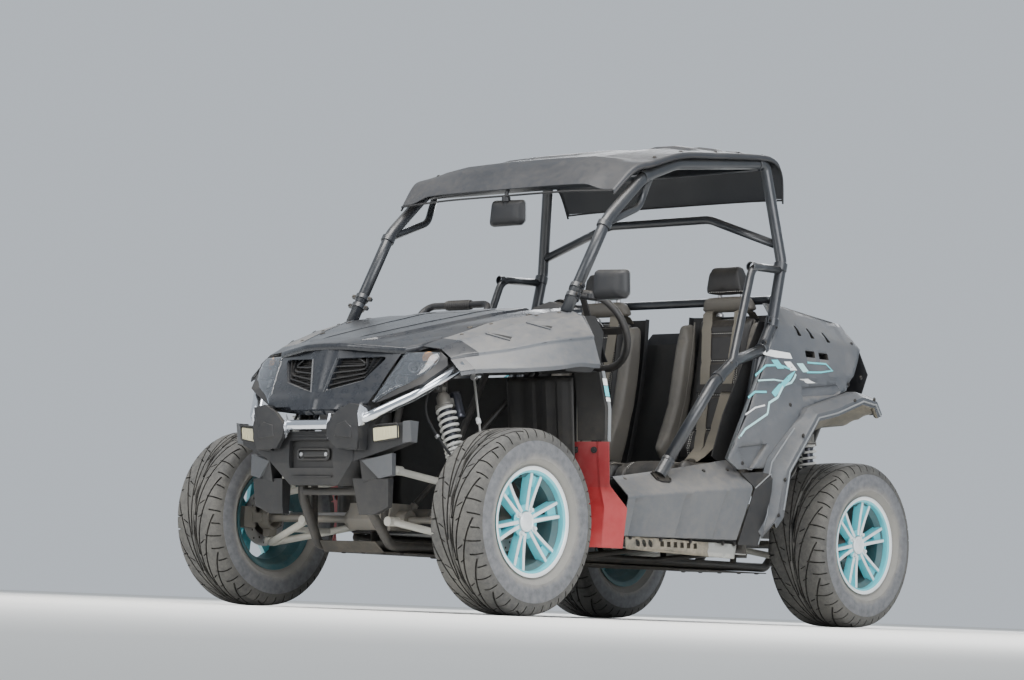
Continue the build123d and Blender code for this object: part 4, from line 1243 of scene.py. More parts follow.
# x, outer edge, middle, foot and edge of the raised centre
HOOD = [(1330, (120, 943), (100, 944), (78, 945), (62, 948)),
        (1254, (303, 928), (224, 953), (172, 966), (163, 975)),
        (1250, (307, 929), (226, 954), (174, 967), (165, 976)),
        (1150, (345, 961), (238, 984), (200, 991), (190, 1002)),
        (1050, (380, 1000), (278, 1012), (216, 1017), (205, 1028)),
        (932, (397, 1046), (302, 1047), (234, 1047), (222, 1058)),
        (800, (462, 1081), (332, 1081), (248, 1080), (235, 1090)),
        (700, (506, 1107), (402, 1109), (264, 1106), (250, 1115)),
        (560, (543, 1131), (432, 1135), (286, 1136), (270, 1144))]
rows = []
for x, o, m_, f, r in HOOD:
    half = [(-o[0], o[1] - 14), (-o[0], o[1]), (-m_[0], m_[1] + 3), (-f[0], f[1]),
            (-r[0], r[1])]
    mid = [(-r[0] * 0.5, r[1] + 3), (r[0] * 0.5, r[1] + 3)]
    rows.append((x, half + mid + [(-y, z) for y, z in half[::-1]]))
hv, hf = skin(rows, corner=9.0, arc=3, step=24.0, runs=4)
hood_at = ground_of(hv, hf)
b = Build()
b.add(hv, hf)
piece = b.make("hood_skin", ["hood", "liner"], replaces=("hood",), smooth=40,
               fix=False)
if sum(p.normal.z for p in piece.data.polygons) < 0:
    piece.data.flip_normals()
wall(piece, 4.0, 1)
d = Build()
# service cover seam, two long ribs and quarter-turn fasteners
for s in (1, -1):
    for x, y in ((1180, 290), (985, 372), (760, 455), (600, 505)):
        p, n = hood_at(x, s * y)
        d.lathe([(-1, 11), (1.4, 11), (2.4, 9), (2.6, 4), (1.6, 3.6), (1.6, 0.5)],
                p, n, 18, 1)
    rib = []
    for x in range(600, 1261, 30):
        p, n = hood_at(x, s * lerp(150, 92, (x - 600) / 660))
        rib.append(p + n * 0.5)
    d.tube(rib, [2.0 if 0 < i < len(rib) - 1 else 0.6 for i in range(len(rib))],
           8, 0)
seam = []
for y in range(-230, 231, 20):
    p, n = hood_at(640 + 30 * (1 - (y / 230) ** 2), y)
    seam.append(p - n * 0.6)
d.tube(seam, 1.6, 6, 2)
d.make("hood_fittings", ["hood", "bolt", "groove"], slot="dark_panel")

# black brow that caps the hood front and runs back over each lamp
path = [((1338, 0, 945), (1306, 0, 958)), ((1337, 60, 944), (1302, 56, 958)),
        ((1331, 112, 942), (1290, 98, 956)), ((1296, 208, 935), (1248, 186, 960)),
        ((1256, 304, 929), (1204, 262, 962)), ((1204, 332, 944), (1160, 286, 978)),
        ((1150, 347, 963), (1120, 318, 982)), ((1118, 357, 974), (1100, 342, 988))]
b = Build()
rings = []
for p, q in path:
    p, q = Vector(p), Vector(q)
    h, n = hood_at(q.x, q.y)
    q = h + n * 1.4
    out = (p - q)
    out.z = 0
    out.normalize()
    rings.append([p + out * 1 + Vector((0, 0, -20)), p + out * 5 + Vector((0, 0, -9)),
                  p + out * 4 + Vector((0, 0, 1)), p + Vector((0, 0, 4.5)),
                  p.lerp(q, 0.5) + Vector((0, 0, 3.0)), q])
fine = []
for a, c in zip(rings[:-1], rings[1:]):
    for k in range(4):
        fine.append([u.lerp(v, k / 4) for u, v in zip(a, c)])
fine.append(rings[-1])
b.loft(fine, 0, closed=False)
n0 = len(b.f)
b.mirror_y()
piece = b.make("hood_brow", ["hood"], slot="dark_panel", smooth=45, weld=0.4)
thicken(piece, 2.5, rim=0.8)


# ------------------------------------------------------------------ nose
def nose_x(y, z):
    """Front of the nose: swept back at the sides, keeled in the middle."""
    a = abs(y)
    t = max(0.0, (a - 60) / 245)
    xt, zt = 1330 - 78 * t, 938 - 19 * t
    xb, zb = 1392 - 30 * t, 700 + 27 * t
    if z < zb:
        return xb - (zb - z) * 1.45
    x = xt + (xb - xt) * (zt - z) / (zt - zb)
    x += 7.0 * max(0.0, 1 - a / (18 + 0.1 * (z - zb)))
    # lower lip stands a little proud of the grilles
    low = min(1.0, max(0.0, (766 - z) / 10))
    return x + 6.0 * low


OPENING = [(62, 892), (256, 900), (190, 812), (34, 772)]
shape = [(-299, 918), (-60, 937), (60, 937), (299, 918), (250, 724), (243, 706),
         (60, 688), (-60, 688), (-243, 706), (-250, 724)]
holes = []
for s in (1, -1):
    loop = [(s * y, z) for y, z in OPENING]
    holes.append([(p.x, p.y) for p in rounded([(y, z, 0) for y, z in loop], 12, 3,
                                              closed=True)])
pts, tris = cut_mesh(shape, holes, 13)
b = Build()
b.add([(nose_x(y, z), y, z) for y, z in pts], tris)
piece = b.make("nose_skin", ["hood", "liner"], replaces=("nose_panel",), smooth=28)
if sum(p.normal.x for p in piece.data.polygons) < 0:
    piece.data.flip_normals()
wall(piece, 4.0, 1)
b = Build()
for s in (1, -1):
    loop = [(s * y, z) for y, z in OPENING]
    c = Vector((sum(p[0] for p in loop) / 4, sum(p[1] for p in loop) / 4))
    # recessed frame round the opening
    rings = []
    for k, back in ((1.0, 0), (0.965, 4), (0.955, 26)):
        ring = []
        for y, z in loop:
            yy, zz = c.x + (y - c.x) * k, c.y + (z - c.y) * k
            ring.append(Vector((nose_x(y, z) - back - 1, yy, zz)))
        rings.append(rounded(ring, 10, 3, closed=True))
    b.loft(rings, 0, caps=False)
    # light edge on the inner and lower border
    A, B, C, D = [Vector(p) for p in loop]
    for p, q, w0, w1 in ((A, D, 5.5, 8.0), (D, C, 5.0, 3.0)):
        strip_pts = []
        for k in range(9):
            t = k / 8
            r = p.lerp(q, t)
            inward = (c - r).normalized()
            w = lerp(w0, w1, t)
            e0, e1 = r - inward * w, r + inward * 1.0
            strip_pts.append([Vector((nose_x(e0.x, e0.y) + 0.8, e0.x, e0.y)),
                              Vector((nose_x(r.x, r.y) + 2.4, r.x, r.y)),
                              Vector((nose_x(e1.x, e1.y) - 6, e1.x, e1.y))])
        b.loft(strip_pts, 1, closed=False)
    # nested chevron vanes
    for i, k in enumerate((0.17, 0.36, 0.56, 0.76)):
        run = [D.lerp(A, k), C.lerp((A + B) / 2 + Vector((s * 20, -2)), k * 0.9),
               B.lerp(A, k * 0.8)]
        run[0] = run[0] + (c - run[0]).normalized() * 2
        run[2] = run[2] + (c - run[2]).normalized() * 2
        rings = []
        for p in rounded([(q.x, q.y, 0) for q in run], 16, 3):
            x = nose_x(p.x, p.y) - 7
            rings.append([Vector((x, p.x, p.y + 2.4)), Vector((x + 1.4, p.x, p.y)),
                          Vector((x, p.x, p.y - 2.4)),
                          Vector((x - 20, p.x, p.y + 1.0)),
                          Vector((x - 20, p.x, p.y + 4.0))])
        b.loft(rings, 3)
    # fine level slats behind the vanes
    z = 778.0
    while z < 898:
        ys = []
        for (y0, z0), (y1, z1) in zip(OPENING, OPENING[1:] + OPENING[:1]):
            if (z0 - z) * (z1 - z) < 0:
                ys.append(lerp(y0, y1, (z - z0) / (z1 - z0)))
        if len(ys) == 2:
            lo, hi = sorted(ys)
            line = [Vector((nose_x(y, z) - 21, s * y, z))
                    for y in (lo - 3, (lo + hi) / 2, hi + 3)]
            b.tube(line, 1.7, 6, 2)
        z += 9.5
piece = b.make("nose_grilles", ["hood", "facet", "mesh", "black"],
               slot="black_plastic", smooth=35)

# ------------------------------------------------------------------ headlamps
# front inner, lens outer, housing front, housing rear, rear inner (x, y) by z
LAMP = [(730, (1359, 256), (1351, 269), (1349, 274), (1330, 274), (1330, 257)),
        (752, (1347, 262), (1337, 292), (1329, 326), (1296, 326), (1296, 264)),
        (775, (1334, 268), (1320, 326), (1311, 378), (1266, 378), (1266, 270)),
        (798, (1320, 275), (1301, 372), (1288, 428), (1254, 428), (1250, 277)),
        (833, (1300, 284), (1267, 418), (1248, 452), (1222, 452), (1236, 286)),
        (868, (1279, 294), (1236, 441), (1208, 474), (1202, 474), (1222, 296)),
        (896, (1262, 302), (1216, 447), (1205, 468), (1202, 466), (1215, 304)),
        (916, (1247, 311), (1209, 432), (1205, 440), (1202, 438), (1206, 313))]
FACE = Vector((0.80, 0.50, 0.33)).normalized()


def lamp_row(t):
    k = t * (len(LAMP) - 1)
    i = min(int(k), len(LAMP) - 2)
    f = k - i
    return [Vector((lerp(a[0], c[0], f), lerp(a[1], c[1], f),
                    lerp(LAMP[i][0], LAMP[i + 1][0], f)))
            for a, c in zip(LAMP[i][1:], LAMP[i + 1][1:])]


rows = [lamp_row(k / 21) for k in range(22)]
b = Build()
for i in range(4):
    a, c = ((1, 2), (2, 3), (3, 4), (4, 0))[i]
    b.loft([[r[a], r[c]] for r in rows], 0, closed=False)
for r in (rows[0], rows[-1]):
    b.add(r, [(0, 1, 2, 3, 4)], 0)
# reflector bowl between the inner edge and the lens edge
bowl = []
for k, r in enumerate(rows):
    t = k / 21
    deep = 44 * math.sin(math.pi * min(1, max(0, t))) ** 0.6
    ins, outs = r[0] + (r[1] - r[0]) * 0.04, r[1] - (r[1] - r[0]) * 0.04
    line = [r[0], ins - FACE * 3]
    for q in (0.1, 0.3, 0.5, 0.7, 0.9):
        line.append(ins.lerp(outs, q) - FACE * deep * (0.5 + 0.5 * math.sin(math.pi * q)))
    line += [outs - FACE * 3, r[1]]
    bowl.append(line)
b.loft(bowl, 1, closed=False)
# light frame inside the lens: wide along the inner edge, thin elsewhere
for k0, side_w in ((0.0, 0.12), (1.0, 0.035)):
    band = []
    for k, r in enumerate(rows[1:-1]):
        a = r[0].lerp(r[1], k0)
        c = r[0].lerp(r[1], abs(k0 - side_w))
        band.append([a - FACE * 0.5, a.lerp(c, 0.5) + FACE * 1.0, c - FACE * 2,
                     c - FACE * 9])
    b.loft(band, 2, closed=False)
# three lamp units up the bowl and the amber marker in the outer corner
for t, q, rad in ((0.30, 0.52, 19), (0.50, 0.50, 23), (0.70, 0.46, 21)):
    r = lamp_row(t)
    o = r[0].lerp(r[1], q) - FACE * 30
    b.lathe([(0, rad * 0.5), (6, rad * 0.8), (20, rad), (21.5, rad),
             (21.5, rad - 2.5), (10, rad * 0.72), (6, rad * 0.45), (5, 0.6)], o,
            FACE, 26, 3)
    b.dome(o + FACE * 8, FACE, rad * 0.55, rad * 0.42, 4, 18)
    # cross vane between the units
    a, c = r[0].lerp(r[1], 0.12), r[0].lerp(r[1], 0.95)
    s_ = Vector((0, 0, 19))
    b.loft([[a - FACE * 26 + s_, a - FACE * 9 + s_, a - FACE * 9 + s_ * 1.15],
            [c - FACE * 26 + s_, c - FACE * 9 + s_, c - FACE * 9 + s_ * 1.15]], 2)
r = lamp_row(0.88)
o = r[0].lerp(r[1], 0.68) - FACE * 16
b.lathe([(0, 24), (9, 23), (12, 17), (13, 0.6)], o, FACE, 20, 5)
b.mirror_y()
b.make("headlamp_housings", ["black", "bowl", "facet", "alu", "screen", "amber"],
       replaces=("headlamps",), smooth=40, weld=0.05)
b = Build()
grid = []
for r in rows[0:22]:
    t = rows.index(r) / 21
    line = []
    for j in range(13):
        q = j / 12
        swell = 6.0 * math.sin(math.pi * q) ** 0.7 * math.sin(math.pi * t) ** 0.5
        line.append(r[0].lerp(r[1], q) + FACE * (0.8 + swell))
    grid.append(line)
b.loft(grid, 0, closed=False)
b.mirror_y()
piece = b.make("headlamp_lenses", ["lens"], slot="lamp_lens", smooth=60,
               fix=True)
thicken(piece, 2.0, rim=0)

# ------------------------------------------------------------------ bumper
b = Build()
# horn covers: broad faceted plates that hold the bar
#            y, z, how far forward
plate = [(104, 648, 1424), (112, 604, 1426), (150, 566, 1416), (250, 562, 1414),
         (263, 600, 1424), (264, 714, 1424), (212, 724, 1422), (150, 694, 1425)]
front = [Vector((x + 4, y, z)) for y, z, x in plate]
mid = Vector((1436, 206, 640))
back = [Vector((x - 12, y + (206 - y) * -0.02, z)) for y, z, x in plate]
n = len(front)
b.add(front + [mid] + back,
      [(i, (i + 1) % n, n) for i in range(n)]
      + [(i + n + 1, (i + 1) % n + n + 1, (i + 1) % n, i) for i in range(n)])
# top strap over the bar
b.prism([(212, 724), (262, 716), (262, 676), (212, 676)], (1366, 0, 0), (0, 1, 0),
        (0, 0, 1), (1, 0, 0), 52, 0)
# raised boss on the plate
b.prism([(150, 606), (232, 600), (236, 640), (206, 664), (156, 650)], (1430, 0, 0),
        (0, 1, 0), (0, 0, 1), (1, 0, 0), 5, 0, 0.12)
# bright facets on both sides of each horn
for y, d_ in ((266, 1), (103, -1)):
    if d_ > 0:
        f = [(1428, 264, 642), (1437, 265, 684), (1426, 264, 720), (1396, 272, 704),
             (1392, 274, 676), (1406, 270, 648)]
    else:
        f = [(1419, 104, 600), (1430, 106, 644), (1419, 106, 690), (1396, 101, 644)]
    pts = [Vector(p) for p in f]
    c = sum(pts, Vector()) / len(pts) + Vector((3, 2.5 * d_, 0))
    base = [p - Vector((6, 5 * d_, 0)) for p in pts]
    m = len(pts)
    b.add(pts + [c] + base, [(i, (i + 1) % m, m) for i in range(m)]
          + [(i + m + 1, (i + 1) % m + m + 1, (i + 1) % m, i) for i in range(m)], 1)
# light end caps of the upper wings
tip = [(1306, 434, 592), (1336, 434, 594), (1347, 434, 664), (1304, 434, 662)]
inner = [(1339, 398, 591), (1353, 404, 660)]
b.add([(1308, 436, 590), (1337, 436, 592), (1348, 436, 666), (1304, 436, 664),
       (1343, 398, 588), (1358, 410, 662), (1310, 398, 588), (1310, 410, 664)],
      [(0, 1, 2, 3), (1, 4, 5, 2), (4, 6, 7, 5), (0, 3, 7, 6), (3, 2, 5, 7),
       (0, 6, 4, 1)], 2)
# lower winglet facet
b.add([(1372, 232, 524), (1345, 352, 552), (1342, 354, 474), (1352, 300, 462),
       (1340, 236, 500), (1322, 350, 552), (1320, 352, 474), (1322, 300, 462)],
      [(0, 1, 2, 3), (0, 3, 7, 4), (1, 5, 6, 2), (2, 6, 7, 3), (0, 4, 5, 1),
       (4, 7, 6, 5)], 2)
# lamp surrounds
ring = [(1374, 288, 648), (1362, 392, 655), (1358, 392, 602), (1366, 288, 588)]
loop = rounded([(x + 4, y, z) for x, y, z in ring], 8, 3, closed=True)
b.tube(loop, 2.6, 8, 0, closed=True)
# lamp face ribs
for k in range(1, 8):
    t = k / 8
    lo = Vector((lerp(1377, 1358, t) + 4, lerp(294, 386, t), lerp(594, 607, t)))
    hi = Vector((lerp(1384, 1367, t) + 3.4, lerp(294, 386, t), lerp(636, 645, t)))
    b.tube([lo, hi], 1.1, 6, 4)
b.mirror_y()
# two-step centre grille between the horns and the winch bay under it
for z, w in ((600, 92), (612, 96), (624, 98)):
    b.block(1386, 1398, -w, w, z, z + 4, 0)
b.prism([(-116, 604), (116, 604), (104, 492), (-104, 492)], (1372, 0, 0), (0, 1, 0),
        (0, 0, 1), (1, 0, 0), -3, 3)
b.lathe([(-70, 24), (-68, 27), (68, 27), (70, 24)], (1350, 0, 548), (0, 1, 0), 30, 3,
        cap0=True, cap1=True)
for y in (-61.9, 61.9):
    b.bolt((1372, y, 547), (1, 0, 0), 9, 8, 5, 15)
# hawse opening in front of the drum
b.tube(rounded([(1378, -78, 528), (1378, 78, 528), (1378, 78, 566),
                (1378, -78, 566)], 14, 4, closed=True), 5, 8, 3, closed=True)
# chin slot and its lip
b.prism([(-96, 488), (96, 488), (84, 470), (-84, 470)], (1377, 0, 0), (0, 1, 0),
        (0, 0, 1), (1, 0, 0), 2, 3)
b.block(1372, 1388, -100, 100, 464, 469, 0)
b.make("bumper_details", ["black", "silver", "facet", "mesh", "cream", "steel"],
       slot="black_plastic", smooth=25, bevel=0.8, segments=1, limit=40)

# ------------------------------------------------------------------ roof
ROOF = [(402, (540, 1596), (300, 1604)), (312, (566, 1692), (310, 1724)),
        (230, (588, 1722), (330, 1756)), (60, (590, 1776), (400, 1797)),
        (-160, (590, 1806), (420, 1837)), (-440, (590, 1838), (420, 1853)),
        (-540, (587, 1836), (410, 1851)), (-604, (575, 1796), (400, 1812)),
        (-642, (556, 1690), (380, 1692))]


def soft_step(d, w):
    t = min(1.0, max(0.0, d / w))
    return t * t * (3 - 2 * t)


def roof_form(x, y, z):
    """Pressed forms of the roof skin."""
    ay = abs(y)
    out = 0.0
    # two raised humps a side, and a long one in the middle
    for x0, x1 in ((-313, -244), (-453, -393), (-150, -84)):
        dx = min(x - x0, x1 - x)
        dy = min(ay - 300, 520 - ay)
        out += 9.0 * soft_step(dx, 14) * soft_step(dy, 26)
    dx, dy = min(x + 470, 150 - x), 150 - ay
    out += 7.0 * soft_step(dx, 30) * soft_step(dy, 24)
    # brow over the windscreen: ridge above the visor
    out += 6.0 * soft_step(30 - abs(x - 262), 24) * soft_step(480 - ay, 60)
    # the visor's edge is arched between its corners
    out += 24.0 * soft_step(x - 318, 84) * soft_step(500 - ay, 110)
    # sunk field in the visor
    out -= 4.0 * soft_step(min(x - 322, 388 - x), 10) * soft_step(250 - ay, 18)
    return out


rows = []
for x, a, c in ROOF:
    mid = c[1] + (6 if -604 < x < 300 else 1)
    rows.append((x, [(-a[0] - 2, a[1] - 20), (-a[0], a[1]), (-c[0], c[1]),
                     (-c[0] * 0.45, mid), (c[0] * 0.45, mid), (c[0], c[1]),
                     (a[0], a[1]), (a[0] + 2, a[1] - 20)]))
verts, faces = skin(rows, corner=22.0, arc=3, step=13.0, runs=14)
verts = [Vector((v.x, v.y, v.z + (roof_form(v.x, v.y, v.z) if abs(v.y) < 560 else 0)))
         for v in verts]
b = Build()
b.add(verts, faces)
piece = b.make("roof_skin", ["roof"], replaces=("roof",), smooth=34)
wall(piece, 3.5, 0, -1.0, rim=1.2)
roof_at = ground_of(verts, faces)

b = Build()
# rolled dark edge under both sides, and the hem across the front and rear
for s_ in (1, -1):
    line_ = [Vector((x, s_ * (a[0] + 1), a[1] - 20)) for x, a, _ in ROOF]
    b.tube(smooth_line(line_, 18), 4.0, 8, 0)
for x, a, c in (ROOF[0], ROOF[-1]):
    line_ = [Vector((x, -a[0], a[1] - 6)), Vector((x, -c[0], c[1] - 3)),
             Vector((x, 0, c[1] - 2)), Vector((x, c[0], c[1] - 3)),
             Vector((x, a[0], a[1] - 6))]
    b.tube(smooth_line(line_, 24), 4.0, 8, 0)
# bolts with washers along both sides
for x in (180, 20, -200, -350, -500):
    for s_ in (1, -1):
        p, n = roof_at(x, s_ * 552)
        b.bolt(p, n, 6.5, 4, 1, 11)
b.make("roof_edges", ["black", "bolt"], slot="black_plastic", smooth=40)

# ------------------------------------------------------------------ cage
for node in ("cage_left", "cage_right", "cage_cross_tubes", "side_bars"):
    dress(node, "tube", 0)
b = Build()


def collar(b, p, way, r=22, half=14, grow=5.0, mat=0):
    b.lathe([(-half, r + 0.4), (-half, r + grow - 1.5), (-half + 1.5, r + grow),
             (half - 1.5, r + grow), (half, r + grow - 1.5), (half, r + 0.4)], p, way,
            28, mat)


def clamp(b, p, way, out, r=22, half=17, mat=0, bolt=1):
    """Split tube clamp: two shells with ears and two bolts."""
    way = unit(way)
    out = unit(Vector(out) - way * Vector(out).dot(way))
    side_ = way.cross(out)
    collar(b, p, way, r, half, 5.5, mat)
    for e in (1, -1):
        base = Vector(p) + out * e * (r + 4)
        for k in (1, -1):
            b.prism([(-half + 2, 0), (half - 2, 0), (half - 4, 17), (-half + 4, 17)],
                    base + side_ * (2.0 * k), way, out * e, side_ * k, 5, mat)
        b.bolt(base + out * e * 9 + side_ * 7, side_, 4.6, 4, bolt, 7)
        b.bolt(base + out * e * 9 - side_ * 7, -side_, 4.2, 3, bolt, 7)


# rear upright: collar at the bend, split clamp lower down
collar(b, (-554, 618.5, 1404), Vector((54, 2, -240)), 22, 16, 5, 0)
clamp(b, (-508, 619, 1179), Vector((54, 2, -240)) * -1, (1, 0.2, 0.1))
clamp(b, (-448, 618, 1067), Vector((-215 + 452, 46, -63)), (0, 0.4, 1), 22, 13)
clamp(b, (-196, 667.5, 990), Vector((0, 0, 1)), (1, 0.3, 0), 16, 10)
collar(b, (-330, 646, 1380), Vector((-225, -25, 10)), 16, 12, 4)
collar(b, (-98, 676.5, 929), Vector((-153, -16, 100)), 22, 12, 4)
# windscreen pillars: two clamps and a collar, and collars higher on the cage
p0, p1 = Vector((655, 542, 1108)), Vector((450, 550, 1475))
for t, r_ in ((0.17, 1), (0.27, 1)):
    clamp(b, p0.lerp(p1, t), p1 - p0, (0.3, 1, 0.1), 22, 10, 0, 1)
collar(b, p0.lerp(p1, 0.94), p1 - p0, 22, 12, 5, 0)
collar(b, (245, 556, 1663), Vector((390, -6, -160)), 22, 13, 4, 0)
collar(b, (-470, 560.6, 1808), Vector((-68, 1, 9)), 22, 13, 4, 0)
b.mirror_y()
b.make("cage_fittings", ["tube", "bolt", "cast"], slot="cage", smooth=36)

# ------------------------------------------------------------------ dash
dress("dashboard", "cabin", 3)
dress("steering_column", "frame", 1)
dress("grab_handle", "black", 0)
b = Build()
# trim strip, vents, switches, socket and lid of the glove box on the rear face
fx = 388                      # rear face of the dash faces the seats


def face_x(z):
    """x of the dash's rear face at height z."""
    for (x0, z0), (x1, z1) in (((388, 1060), (402, 950)), ((402, 950), (455, 905)),
                               ((440, 1118), (388, 1060))):
        lo, hi = sorted((z0, z1))
        if lo <= z <= hi:
            return lerp(x0, x1, (z - z0) / (z1 - z0))
    return 388


def plate(y0, y1, z0, z1, t, mat, corner=8):
    ring = [(p.x, p.y) for p in rounded([(y0, z0, 0), (y1, z0, 0), (y1, z1, 0),
                                         (y0, z1, 0)], corner, 3, closed=True)]
    low = [Vector((face_x(z) + 1.0, y, z)) for y, z in ring]
    top = [Vector((face_x(z) - t, y, z)) for y, z in ring]
    b.loft([low, top], mat)


plate(-460, -130, 962, 1048, 5, 0, 14)
plate(-320, -270, 1030, 1042, 9, 2, 4)
plate(-90, 90, 960, 1052, 4, 1, 10)
for k in range(4):
    y = -66 + 44 * k
    plate(y - 15, y + 15, 1008, 1042, 8, 2, 4)
    plate(y - 9, y + 9, 1018, 1034, 11, 1, 3)
for y in (-50, 50):
    b.lathe([(-1, 17), (5, 17), (7, 14), (7, 11), (3, 10)], (face_x(982), y, 982),
            (-1, 0, 0.12), 22, 2, cap1=True)
plate(440, 480, 1010, 1040, 7, 2, 4)
# storage lip above
b.tube([(face_x(1050) - 3, -480, 1052), (face_x(1050) - 3, 480, 1052)], 4, 8, 3)
# gauge in the hooded pod
b.lathe([(-6, 50), (2, 50), (4, 46), (4, 43), (-1, 41)], (424, 330, 1140),
        (-0.93, 0, 0.36), 32, 3, cap1=False)
b.lathe([(0, 42), (0.6, 42)], (424, 330, 1140), (-0.93, 0, 0.36), 32, 4, cap1=True,
        cap0=True)
for k in range(7):
    t = math.radians(215 - 42 * k)
    q = Vector((424, 330, 1140)) + Vector((0, 1, 0)) * 33 * math.cos(t) \
        + Vector((0.36, 0, 0.93)) * 33 * math.sin(t) + Vector((-0.93, 0, 0.36)) * 1.4
    u, w = Vector((0, 1, 0)), Vector((0.36, 0, 0.93))
    d_ = u * math.cos(t) + w * math.sin(t)
    b.prism([(-4, -1), (4, -1), (4, 1), (-4, 1)], q, d_, Vector((-0.93, 0, 0.36))
            .cross(d_), Vector((-0.93, 0, 0.36)), 0.8, 5)
b.make("dash_details", ["cabin", "black", "bolt", "grip", "screen", "alu"],
       slot="cabin_plastic", smooth=34, bevel=0.8, segments=1)
# ribs on the dash top and the grab handle's feet
b = Build()
for y in (-130, -470):
    b.lathe([(-6, 26), (2, 26), (5, 22), (9, 16), (16, 15)], (402, y, 1099),
            (-0.68, 0, 0.73), 22, 0)
b.lathe([(-64, 17), (-62, 19), (62, 19), (64, 17)], (306, -300, 1200), (0, 1, 0), 20,
        1, cap0=True, cap1=True)
for k in range(11):
    b.lathe([(-3, 19), (-1.5, 20.6), (1.5, 20.6), (3, 19)],
            (306, -300 - 50 + 10 * k, 1200), (0, 1, 0), 20, 1)
b.make("grab_handle_fittings", ["black", "grip"], slot="cabin_plastic")

# steering wheel: dressed rim and spokes, with a domed hub
dress("steering_wheel", "grip", 0.8)
hub = Vector((235, 330, 1085))
AX = Vector((-math.cos(math.radians(28)), 0, math.sin(math.radians(28))))
U, W = Vector((0, 1, 0)), Vector((math.sin(math.radians(28)), 0,
                                   math.cos(math.radians(28))))
b = Build()
b.lathe([(10, 40), (16, 40), (22, 36), (25, 24), (26, 3)], hub, AX, 28, 0, cap1=True)
for a in (0, 180, 270):
    t = math.radians(a)
    d_ = U * math.cos(t) + W * math.sin(t)
    e_ = AX.cross(d_)
    for r0, r1, h in ((40, 132, 9),):
        ring = [(r0, -12), (r1 - 20, -10), (r1, -14), (r1, 14), (r1 - 20, 10),
                (r0, 12)]
        b.prism(ring, hub + AX * 10, d_, e_, AX, 4, 0, 0.02)
    for r_ in (62, 84, 106):
        b.prism([(5 * math.cos(k), 5 * math.sin(k)) for k in
                 (math.pi * q / 6 for q in range(12))],
                hub + AX * 13.6 + d_ * r_, d_, e_, AX, 1.2, 1)
for k in range(40):
    # stitched seam on the inside of the rim
    t = 2 * math.pi * k / 40
    d_ = U * math.cos(t) + W * math.sin(t)
    e_ = AX.cross(d_)
    b.prism([(-4, -0.9), (4, -0.9), (4, 0.9), (-4, 0.9)], hub + d_ * 141.4, e_, AX,
            -d_, 0.9, 2)
b.make("steering_wheel_hub", ["black", "bolt", "steel"], body="steering_wheel_body",
       slot="grip")

# ------------------------------------------------------------------ mirrors
b = Build()


def mirror_head(b, cx, cy, cz, hw, hh, depth, sgn):
    """Rounded shell with its glass on the rear side."""
    ring = [(p.x, p.y) for p in rounded(
        [(-hw, -hh * 0.86, 0), (-hw * 0.9, hh, 0), (hw * 0.94, hh * 0.9, 0),
         (hw, -hh * 0.7, 0), (hw * 0.8, -hh, 0), (-hw * 0.8, -hh, 0)], 18, 4,
        closed=True)]
    rings = []
    for dx, k in ((0, 0.97), (3, 1.0), (depth * 0.35, 1.0), (depth * 0.7, 0.9),
                  (depth * 0.92, 0.7), (depth, 0.4)):
        rings.append([Vector((cx + dx, cy + sgn * a * k, cz + c * k))
                      for a, c in ring])
    b.loft(rings, 0)
    glass = [Vector((cx - 0.8, cy + sgn * a * 0.88, cz + c * 0.88)) for a, c in ring]
    back = [g + Vector((4, 0, 0)) for g in glass]
    b.loft([glass, back], 1)
    # raised band round the shell
    b.tube([Vector((cx + 6, cy + sgn * a * 1.0, cz + c * 1.0)) for a, c in ring], 2.2,
           6, 2, closed=True)


mirror_head(b, 580, 702, 1213, 84, 55, 43, 1)
b.tube(smooth_line([(606, 636, 1180), (606, 610, 1168), (606, 574, 1170)], 12),
       9, 12, 0)
b.lathe([(-10, 15), (-8, 17), (8, 17), (10, 15)], (606, 622, 1170), (0, 0, 1), 18,
        0, cap0=True, cap1=True)
b.make("side_mirror_shell", ["black", "glass", "edge"], slot="black_plastic",
       replaces=("side_mirror",), smooth=38)
b = Build()
mirror_head(b, 370, 0, 1540, 90, 50, 31, 1)
b.tube([(394, 0, 1560), (394, 0, 1600), (380, 0, 1640)], 8, 12, 0)
b.lathe([(-12, 12), (-8, 17), (8, 17), (12, 12)], (392, 0, 1590), (0, 0, 1), 18, 0,
        cap0=True, cap1=True)
b.make("centre_mirror_shell", ["black", "glass", "edge"], slot="black_plastic",
       replaces=("centre_mirror",), smooth=38)

# ------------------------------------------------------------------ body sides
# x, (y, z) down the side
SIDE = [(-100, (560, 1264), (622, 1180), (655, 1000), (686, 800), (694, 560)),
        (-620, (560, 1264), (622, 1172), (657, 1000), (694, 830), (700, 560)),
        (-1150, (497, 1236), (592, 1135), (642, 1030), (682, 930), (690, 560))]


def side_y(x, z):
    """Outer face of the rear body side."""
    i = 0 if x > -620 else 1
    (x0, *a), (x1, *c) = SIDE[i], SIDE[i + 1]
    t = min(1.0, max(0.0, (x - x0) / (x1 - x0)))
    line = [(lerp(p[0], q[0], t), lerp(p[1], q[1], t)) for p, q in zip(a, c)]
    if z >= line[0][1]:
        return line[0][0]
    for (y0, z0), (y1, z1) in zip(line[:-1], line[1:]):
        if z1 <= z <= z0:
            k = (z - z0) / (z1 - z0)
            return lerp(y0, y1, k)
    return line[-1][0]


